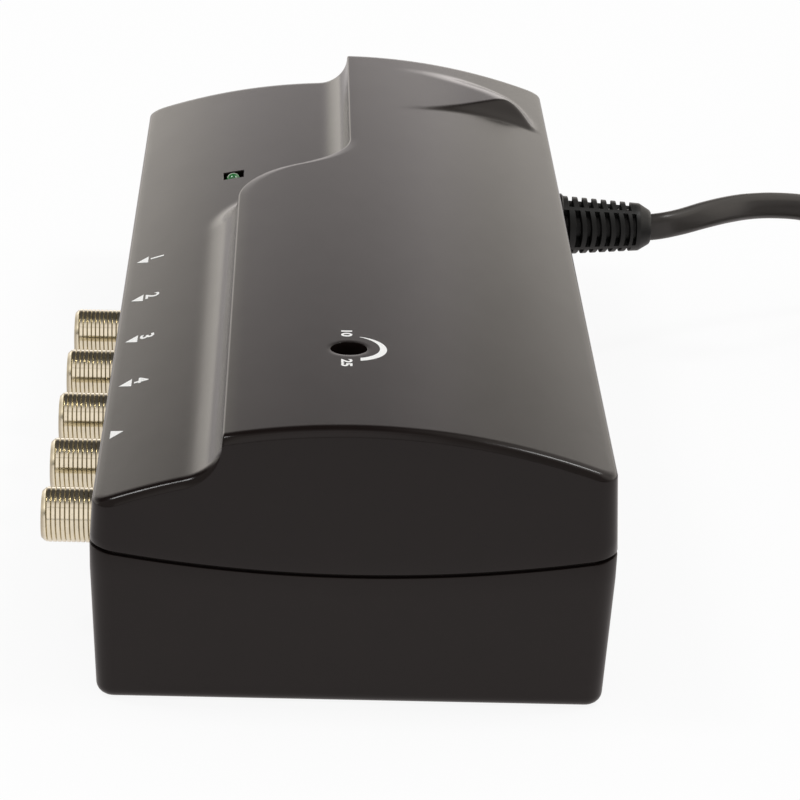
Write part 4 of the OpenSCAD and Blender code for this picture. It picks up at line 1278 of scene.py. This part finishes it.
class AMPLIFIER_OT_sockets(PieceOperator, bpy.types.Operator):
    """Makes the five threaded sockets with their insulators and contacts"""
    bl_idname = "amplifier.sockets"
    bl_label = "Sockets"
    DEPTH = 0.34
    STEPS = 40
    REACH = 9.5
    NECK = 4.2
    BORE = 3.3
    FLANGE = 6.5

    def make(self, scene):
        fittings = scene.amplifier_fittings
        for port in PORTS:
            self.tip_x = corners(f"socket_{port}")[0].x
            self.insulator = centre(f"insulator_{port}")
            tip = Matrix.Translation((self.tip_x, self.insulator.y, self.insulator.z))
            self.place = tip @ Matrix.Rotation(math.pi / 2, 4, "Y")
            self.make_barrel(port, mm(fittings.thread), mm(fittings.pitch))
            self.make_insulator(port)
            self.make_contact(port)

    def make_barrel(self, port, crest, pitch):
        """Threaded barrel, turned as one helix, cut at both ends and closed by its bore and its flange."""
        root = crest - self.DEPTH
        profile = [(root, 0), (root + 0.03, 0.03), (crest - 0.04, 0.11), (crest, 0.13), (crest, 0.67),
                   (crest - 0.04, 0.69), (root + 0.03, 0.765), (root, pitch)]
        turns = math.ceil(self.REACH / pitch) + 2
        bm = bmesh.new()
        verts = [bm.verts.new((radius, 0, along - pitch * 1.5)) for radius, along in profile]
        edges = [bm.edges.new(pair) for pair in zip(verts, verts[1:])]
        bmesh.ops.spin(bm, geom=verts + edges, cent=(0, 0, 0), axis=(0, 0, 1), angle=TURN * turns,
                       steps=self.STEPS * turns, dvec=(0, 0, pitch / self.STEPS))
        bmesh.ops.remove_doubles(bm, verts=bm.verts, dist=0.004)
        for height, way in ((0, -1), (self.REACH, 1)):
            bmesh.ops.bisect_plane(bm, geom=bm.verts[:] + bm.edges[:] + bm.faces[:], plane_co=(0, 0, height),
                                   plane_no=(0, 0, way), clear_outer=True, dist=0.0005)
        for vert in bm.verts:
            radius = math.hypot(vert.co.x, vert.co.y)
            limit = min(crest - 0.72 + vert.co.z * 0.95, self.NECK + (self.REACH - vert.co.z) * 1.1)
            if radius > limit:
                vert.co.xy *= limit / radius
        open_loop = [edge for edge in bm.edges if edge.is_boundary]
        tip_loop = [edge for edge in open_loop if max(v.co.z for v in edge.verts) < 0.01]
        wall_loop = [edge for edge in open_loop if min(v.co.z for v in edge.verts) > self.REACH - 0.01]
        carry(bm, tip_loop, [(self.BORE + 0.18, 0.0), (self.BORE, 0.2), (self.BORE, 3.0)])
        carry(bm, wall_loop, [(self.NECK, 12.8), (self.FLANGE, 12.8), (self.FLANGE, 14.0)])
        close_up(bm)
        bmesh.ops.transform(bm, matrix=self.place, verts=bm.verts)
        low, high = corners(f"socket_{port}")
        block(bm, (low.x + 13.6, low.y, low.z), high, 0.5)
        outward(bm)
        place_piece(bm, f"barrel_{port}", ["socket_nickel"], (f"socket_{port}",), crease=30)

    def make_insulator(self, port):
        low, high = (corner.x - self.tip_x for corner in corners(f"insulator_{port}"))
        bm = bmesh.new()
        lathe(bm, [(0.74, high), (0.74, low + 1.2), (1.5, low), (2.6, low), (2.75, low + 0.3),
                   (3.1, low + 0.3), (3.28, low + 0.5), (3.28, high), (0.74, high)], 48, self.place)
        place_piece(bm, f"bush_{port}", ["socket_insulator"], (f"insulator_{port}",))

    def make_contact(self, port):
        """Hollow contact in the insulator, with a leg down to the board."""
        low, high = corners(f"contact_{port}")
        start, end = low.x - self.tip_x, high.x - self.tip_x
        bm = bmesh.new()
        lathe(bm, [(0, start + 6), (0.42, start + 6), (0.42, start + 0.3), (0.55, start), (0.66, start + 0.1),
                   (0.7, start + 0.3), (0.7, end), (0, end)], 24, self.place)
        leg = self.insulator.z - low.z
        lathe(bm, [(0, 0), (0.68, 0), (0.68, leg), (0, leg)], 16,
              Matrix.Translation((high.x - 0.7, self.insulator.y, low.z)))
        place_piece(bm, f"spring_{port}", ["contact_spring"], (f"contact_{port}",))


class AMPLIFIER_OT_relief(PieceOperator, bpy.types.Operator):
    """Makes the slotted strain relief"""
    bl_idname = "amplifier.relief"
    bl_label = "Strain relief"
    QUARTER = (-45, -40.9, -40.1, -33, -26, -18, -9, 0, 9, 18, 26, 33, 40.1, 40.9)
    FAN = 40.5
    TWIST = 9
    FIRST = 1.7
    SLOT = 0.9
    SLOTS = 15
    REACH = 20.0
    NOSE = REACH - 2.4
    START = 0.3
    STOP = REACH - 0.25
    COLLAR = 1.62
    COLLAR_R = (6.5, 6.32)
    CORE_R = 3.6
    ROOT_R = 6.1
    TIP_R = 4.9
    NOSE_R = 3.4
    INNER_END = [(4.4, 0.3), (4.4, -2.9), (6.2, -2.9), (6.2, -4.9), (2.6, -4.9), (2.6, -0.9)]
    OUTER_END = [(3.2, REACH), (2.2, REACH - 0.4), (2.2, REACH - 1.5)]

    def make(self, scene):
        self.pitch = mm(scene.amplifier_fittings.rib) / 2
        per_quarter = len(self.QUARTER)
        stations = self.stations()
        bm = bmesh.new()
        for vert, i, j in grid(bm, 4 * per_quarter, len(stations) - 1):
            quarter, step = divmod(i % (4 * per_quarter), per_quarter)
            angle = self.QUARTER[step]
            radius = self.radius(stations[j], quarter, abs(angle) < self.FAN)
            turn = math.radians(90 * quarter + angle - self.TWIST)
            along = stations[j] + self.bow(stations[j]) * math.sin(turn) ** 2
            vert.co = (radius * math.cos(turn), radius * math.sin(turn), along)
        bmesh.ops.remove_doubles(bm, verts=bm.verts, dist=0.0005)
        for end_z, end in ((self.START, self.INNER_END), (self.STOP, self.OUTER_END)):
            loop = [edge for edge in bm.edges if edge.is_boundary
                    and all(abs(vert.co.z - end_z) < 0.01 for vert in edge.verts)]
            carry(bm, loop, end)
        close_up(bm)
        _, y, z = centre("strain_relief")
        place = Matrix.Translation((corners("strain_relief")[1].x - self.REACH, y, z))
        bmesh.ops.transform(bm, matrix=place @ Matrix.Rotation(math.pi / 2, 4, "Y"), verts=bm.verts)
        outward(bm)
        place_piece(bm, "relief_sleeve", ["relief_moulding"], ("strain_relief",))

    def stations(self):
        """Places along the relief where its outline changes."""
        found = {self.START, 0.45, 0.9, 1.4, 1.58, self.NOSE, self.NOSE + 0.25, self.REACH - 0.8, self.STOP}
        for index in range(self.SLOTS):
            start = self.FIRST + self.pitch * index
            end = start + self.SLOT
            found |= {start - 0.1, start, start + 0.06, end - 0.06, end, end + 0.1}
        return sorted(value for value in found if value <= self.REACH)

    def bow(self, along):
        """How far the ribs bow towards the tip on both sides."""
        room = min(along - self.COLLAR, self.NOSE - along) / 3
        return min(max(room, 0.0), 1.0)

    def radius(self, along, quarter, in_fan):
        if along <= self.COLLAR:
            return self.COLLAR_R[0] if 0.4 < along < 1.5 else self.COLLAR_R[1]
        if along > self.NOSE:
            return self.TIP_R + (self.NOSE_R - self.TIP_R) * (along - self.NOSE) / (self.REACH - self.NOSE)
        full = self.ROOT_R + (self.TIP_R - self.ROOT_R) * (along - 1.3) / (self.NOSE - 1.3)
        if not in_fan:
            return full
        for index in range(1 - quarter % 2, self.SLOTS, 2):
            start = self.FIRST + self.pitch * index
            end = start + self.SLOT
            if start + 0.03 < along < end - 0.03:
                return self.CORE_R
            if abs(along - start) < 0.03 or abs(along - end) < 0.03:
                return full - 0.12
        return full


class AMPLIFIER_OT_gain(PieceOperator, bpy.types.Operator):
    """Makes the slotted spindle of the gain control"""
    bl_idname = "amplifier.gain"
    bl_label = "Gain control"
    SLOT = (0.5, 4, 1.8)

    def make(self, scene):
        radius = mm(scene.amplifier_fittings.spindle)
        low, high = (corner.z for corner in corners("gain_adjuster"))
        x, y, _ = centre("gain_adjuster")
        bm = bmesh.new()
        lathe(bm, [(0, low), (radius - 0.2, low), (radius, low + 0.2), (radius, high - 0.3),
                   (radius - 0.1, high - 0.09), (radius - 0.3, high), (0, high)], 48,
              Matrix.Translation((x, y, 0)))
        tool = bmesh.new()
        half_w, half_l, deep = self.SLOT
        block(tool, (x - half_w, y - half_l, high - deep), (x + half_w, y + half_l, high + 1))
        bm = carved(bm, tool)
        place_piece(bm, "gain_spindle", ["spindle_moulding"], ("gain_adjuster",),
                    body="gain_control")


class AMPLIFIER_OT_lamp(PieceOperator, bpy.types.Operator):
    """Makes the domed lamp in its slot"""
    bl_idname = "amplifier.lamp"
    bl_label = "Lamp"

    def make(self, scene):
        radius = mm(scene.amplifier_fittings.lamp)
        low, high = (corner.z for corner in corners("power_led"))
        x, y, _ = centre("power_led")
        rim = span("power_led", 0) / 2
        bm = bmesh.new()
        lathe(bm, [(0, low), (rim, low), (rim, low + 0.8), (radius, low + 0.9)] + dome(radius, high, 10), 48,
              Matrix.Translation((x, y, 0)))
        place_piece(bm, "lamp_dome", ["lamp_lens"], ("power_led",))


class AMPLIFIER_OT_marks(PieceOperator, bpy.types.Operator):
    """Makes the printed arc, arrows and numerals on the cover"""
    bl_idname = "amplifier.marks"
    bl_label = "Printed marks"
    LIFT = 0.03
    SLIVER = 1e-5
    BOLD = 0.09
    STRETCH = 1.4
    DIAL = (("10", (-1.6, -65.1)), ("25", (-1.7, -79.4)))
    DIAL_SIZE = 2.5
    PORTS_X = -37.0
    PORTS_Y = (6.2, -15.4, -37.0, -58.8)
    PORTS_SIZE = 3.4
    OUT_X = -39.3
    IN_AT = (-40.3, -81.0)
    ARROW = (1.5, 2.0)
    SHELF_X = -30
    ARC_OFF = Vector((0.62, -0.15))
    ARC = 5.85
    ARC_CUT = 1.31
    ARC_END = math.radians(77)
    ARC_WIDTH = 1.32
    ARC_TIP = 0.14

    def make(self, scene):
        form = CaseForm(scene.amplifier_case)
        bm = bmesh.new()
        self.add_arc(bm)
        for text, at in self.DIAL:
            self.add_numeral(bm, text, at, self.DIAL_SIZE)
        for number, y in enumerate(self.PORTS_Y, 1):
            self.add_arrow(bm, (self.OUT_X, y), -1)
            self.add_numeral(bm, str(number), (self.PORTS_X, y), self.PORTS_SIZE)
        self.add_arrow(bm, self.IN_AT, 1)
        bmesh.ops.remove_doubles(bm, verts=bm.verts, dist=0.001)
        slivers = [face for face in bm.faces if face.calc_area() < self.SLIVER]
        bmesh.ops.delete(bm, geom=slivers, context="FACES")
        for vert in bm.verts:
            height = form.shelf if vert.co.x < self.SHELF_X else form.arch
            vert.co.z = height(vert.co.x) + self.LIFT
        outward(bm)
        for face in bm.faces:
            if face.normal.z < 0:
                face.normal_flip()
        place_piece(bm, "printed_marks", ["printed_ink"])

    def add_arc(self, bm):
        """Arc on the gain hole's right side, cut straight at its broad end and tapered to its far tip."""
        x, y = centre("gain_adjuster").xy + self.ARC_OFF
        for vert, column, row in grid(bm, 48, 2):
            share = column / 48
            depth = 1 - row / 2
            start = -math.acos(self.ARC_CUT / (self.ARC - self.ARC_WIDTH * depth))
            angle = start + (self.ARC_END - start) * share
            width = self.ARC_TIP + (self.ARC_WIDTH - self.ARC_TIP) * (1 - share ** 3)
            radius = self.ARC - width * depth
            vert.co = Vector((x + radius * math.cos(angle), y + radius * math.sin(angle), 0))

    def add_arrow(self, bm, at, way):
        for vert in bmesh.ops.create_circle(bm, cap_ends=True, segments=3, radius=1)["verts"]:
            angle = math.atan2(vert.co.x, vert.co.y)
            vert.co = Vector((at[0] + way * self.ARROW[0] * math.cos(angle),
                              at[1] + self.ARROW[1] * math.sin(angle), 0))

    def add_numeral(self, bm, text, at, size):
        curve = bpy.data.curves.new("numeral", "FONT")
        curve.body = text
        curve.size = size
        curve.offset = self.BOLD
        curve.align_x = "CENTER"
        curve.align_y = "CENTER"
        holder = bpy.data.objects.new("numeral", curve)
        bpy.context.scene.collection.objects.link(holder)
        depsgraph = bpy.context.evaluated_depsgraph_get()
        mesh = bpy.data.meshes.new_from_object(holder.evaluated_get(depsgraph))
        mesh.transform(Matrix.Translation((*at, 0)) @ Matrix.Rotation(-math.pi / 2, 4, "Z")
                       @ Matrix.Diagonal((self.STRETCH, 1, 1, 1)))
        take_in(bm, mesh)
        bpy.data.objects.remove(holder)
        bpy.data.curves.remove(curve)


class AMPLIFIER_OT_screws(PieceOperator, bpy.types.Operator):
    """Makes the four screws that join the shells from below"""
    bl_idname = "amplifier.screws"
    bl_label = "Cover screws"
    SHANK = 1.5
    CROSS = (1.7, 0.42)
    CROSS_DEPTH = 1.1

    def make(self, scene):
        for index in range(1, 5):
            node = f"cover_screw_{index}"
            low, high = (corner.z for corner in corners(node))
            x, y, _ = centre(node)
            head = span(node, 0) / 2
            bm = bmesh.new()
            lathe(bm, [(0, low), (head - 0.7, low), (head - 0.2, low + 0.2), (head, low + 0.6),
                       (head, low + 1.8), (self.SHANK, low + 1.9), (self.SHANK, high - 2), (0, high)], 40,
                  Matrix.Translation((x, y, 0)))
            for half_x, half_y in (self.CROSS, self.CROSS[::-1]):
                tool = bmesh.new()
                block(tool, (x - half_x, y - half_y, low - 1),
                      (x + half_x, y + half_y, low + self.CROSS_DEPTH))
                bm = carved(bm, tool)
            place_piece(bm, f"shell_screw_{index}", ["zinc_screw"], (node,))


class AMPLIFIER_OT_inside(PieceOperator, bpy.types.Operator):
    """Gives the parts inside the case their finishes"""
    bl_idname = "amplifier.inside"
    bl_label = "Parts inside"
    FINISHES = {
        "board_green": ["main_board"],
        "trimmer_blue": ["gain_pot_body", "reservoir_capacitor"],
        "spacer_white": ["led_spacer", "transformer_bobbin"],
        "tinned_sheet": ["shield_frame", "shield_lid", "fuse_holder", "transformer_strap"],
        "part_black": ["amplifier_transistor", "bridge_rectifier", "voltage_regulator"],
        "sheet_aluminium": ["heat_sink"],
        "fuse_tube": ["mains_fuse"],
        "core_sheets": ["transformer_core"],
        "winding_wire": ["primary_winding", "secondary_winding"],
        "lead_brown": ["lead_live"],
        "lead_blue": ["lead_neutral"],
        "ferrite_grey": ["ferrite_splitter_1", "ferrite_splitter_2"],
        "zinc_screw": ["board_screw_1", "board_screw_2", "board_screw_3", "board_screw_4", "strap_screw_1",
                       "strap_screw_2"],
    }

    def make(self, scene):
        for name, nodes in self.FINISHES.items():
            for node in nodes:
                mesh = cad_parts[node].data
                mesh.materials.clear()
                mesh.materials.append(bpy.data.materials[name])


class AMPLIFIER_PT_panel(bpy.types.Panel):
    """Lists the operators and their sizes"""
    bl_idname = "AMPLIFIER_PT_panel"
    bl_label = "Amplifier"
    bl_space_type = "VIEW_3D"
    bl_region_type = "UI"
    bl_category = "Amplifier"

    def draw(self, context):
        for operator in OPERATORS:
            self.layout.operator(operator.bl_idname)
        for name, kind in GROUPS.items():
            box = self.layout.box()
            for key in kind.__annotations__:
                box.prop(getattr(context.scene, name), key)


GROUPS = {
    "amplifier_case": CaseSizes,
    "amplifier_fittings": FittingSizes,
    "amplifier_cord": CordSizes,
    "amplifier_colours": Colours,
}

OPERATORS = (
    AMPLIFIER_OT_finishes,
    AMPLIFIER_OT_stage,
    AMPLIFIER_OT_cord,
    AMPLIFIER_OT_cover,
    AMPLIFIER_OT_base,
    AMPLIFIER_OT_sockets,
    AMPLIFIER_OT_relief,
    AMPLIFIER_OT_gain,
    AMPLIFIER_OT_lamp,
    AMPLIFIER_OT_marks,
    AMPLIFIER_OT_screws,
    AMPLIFIER_OT_inside,
)


def register():
    for kind in (*GROUPS.values(), *OPERATORS, AMPLIFIER_PT_panel):
        bpy.utils.register_class(kind)
    for name, kind in GROUPS.items():
        setattr(bpy.types.Scene, name, bpy.props.PointerProperty(type=kind))


def unregister():
    for name in GROUPS:
        delattr(bpy.types.Scene, name)
    for kind in (AMPLIFIER_PT_panel, *reversed(OPERATORS), *reversed(GROUPS.values())):
        bpy.utils.unregister_class(kind)


def main():
    register()
    for operator in OPERATORS:
        group, name = operator.bl_idname.split(".")
        getattr(getattr(bpy.ops, group), name)()


if __name__ == "__main__":
    main()
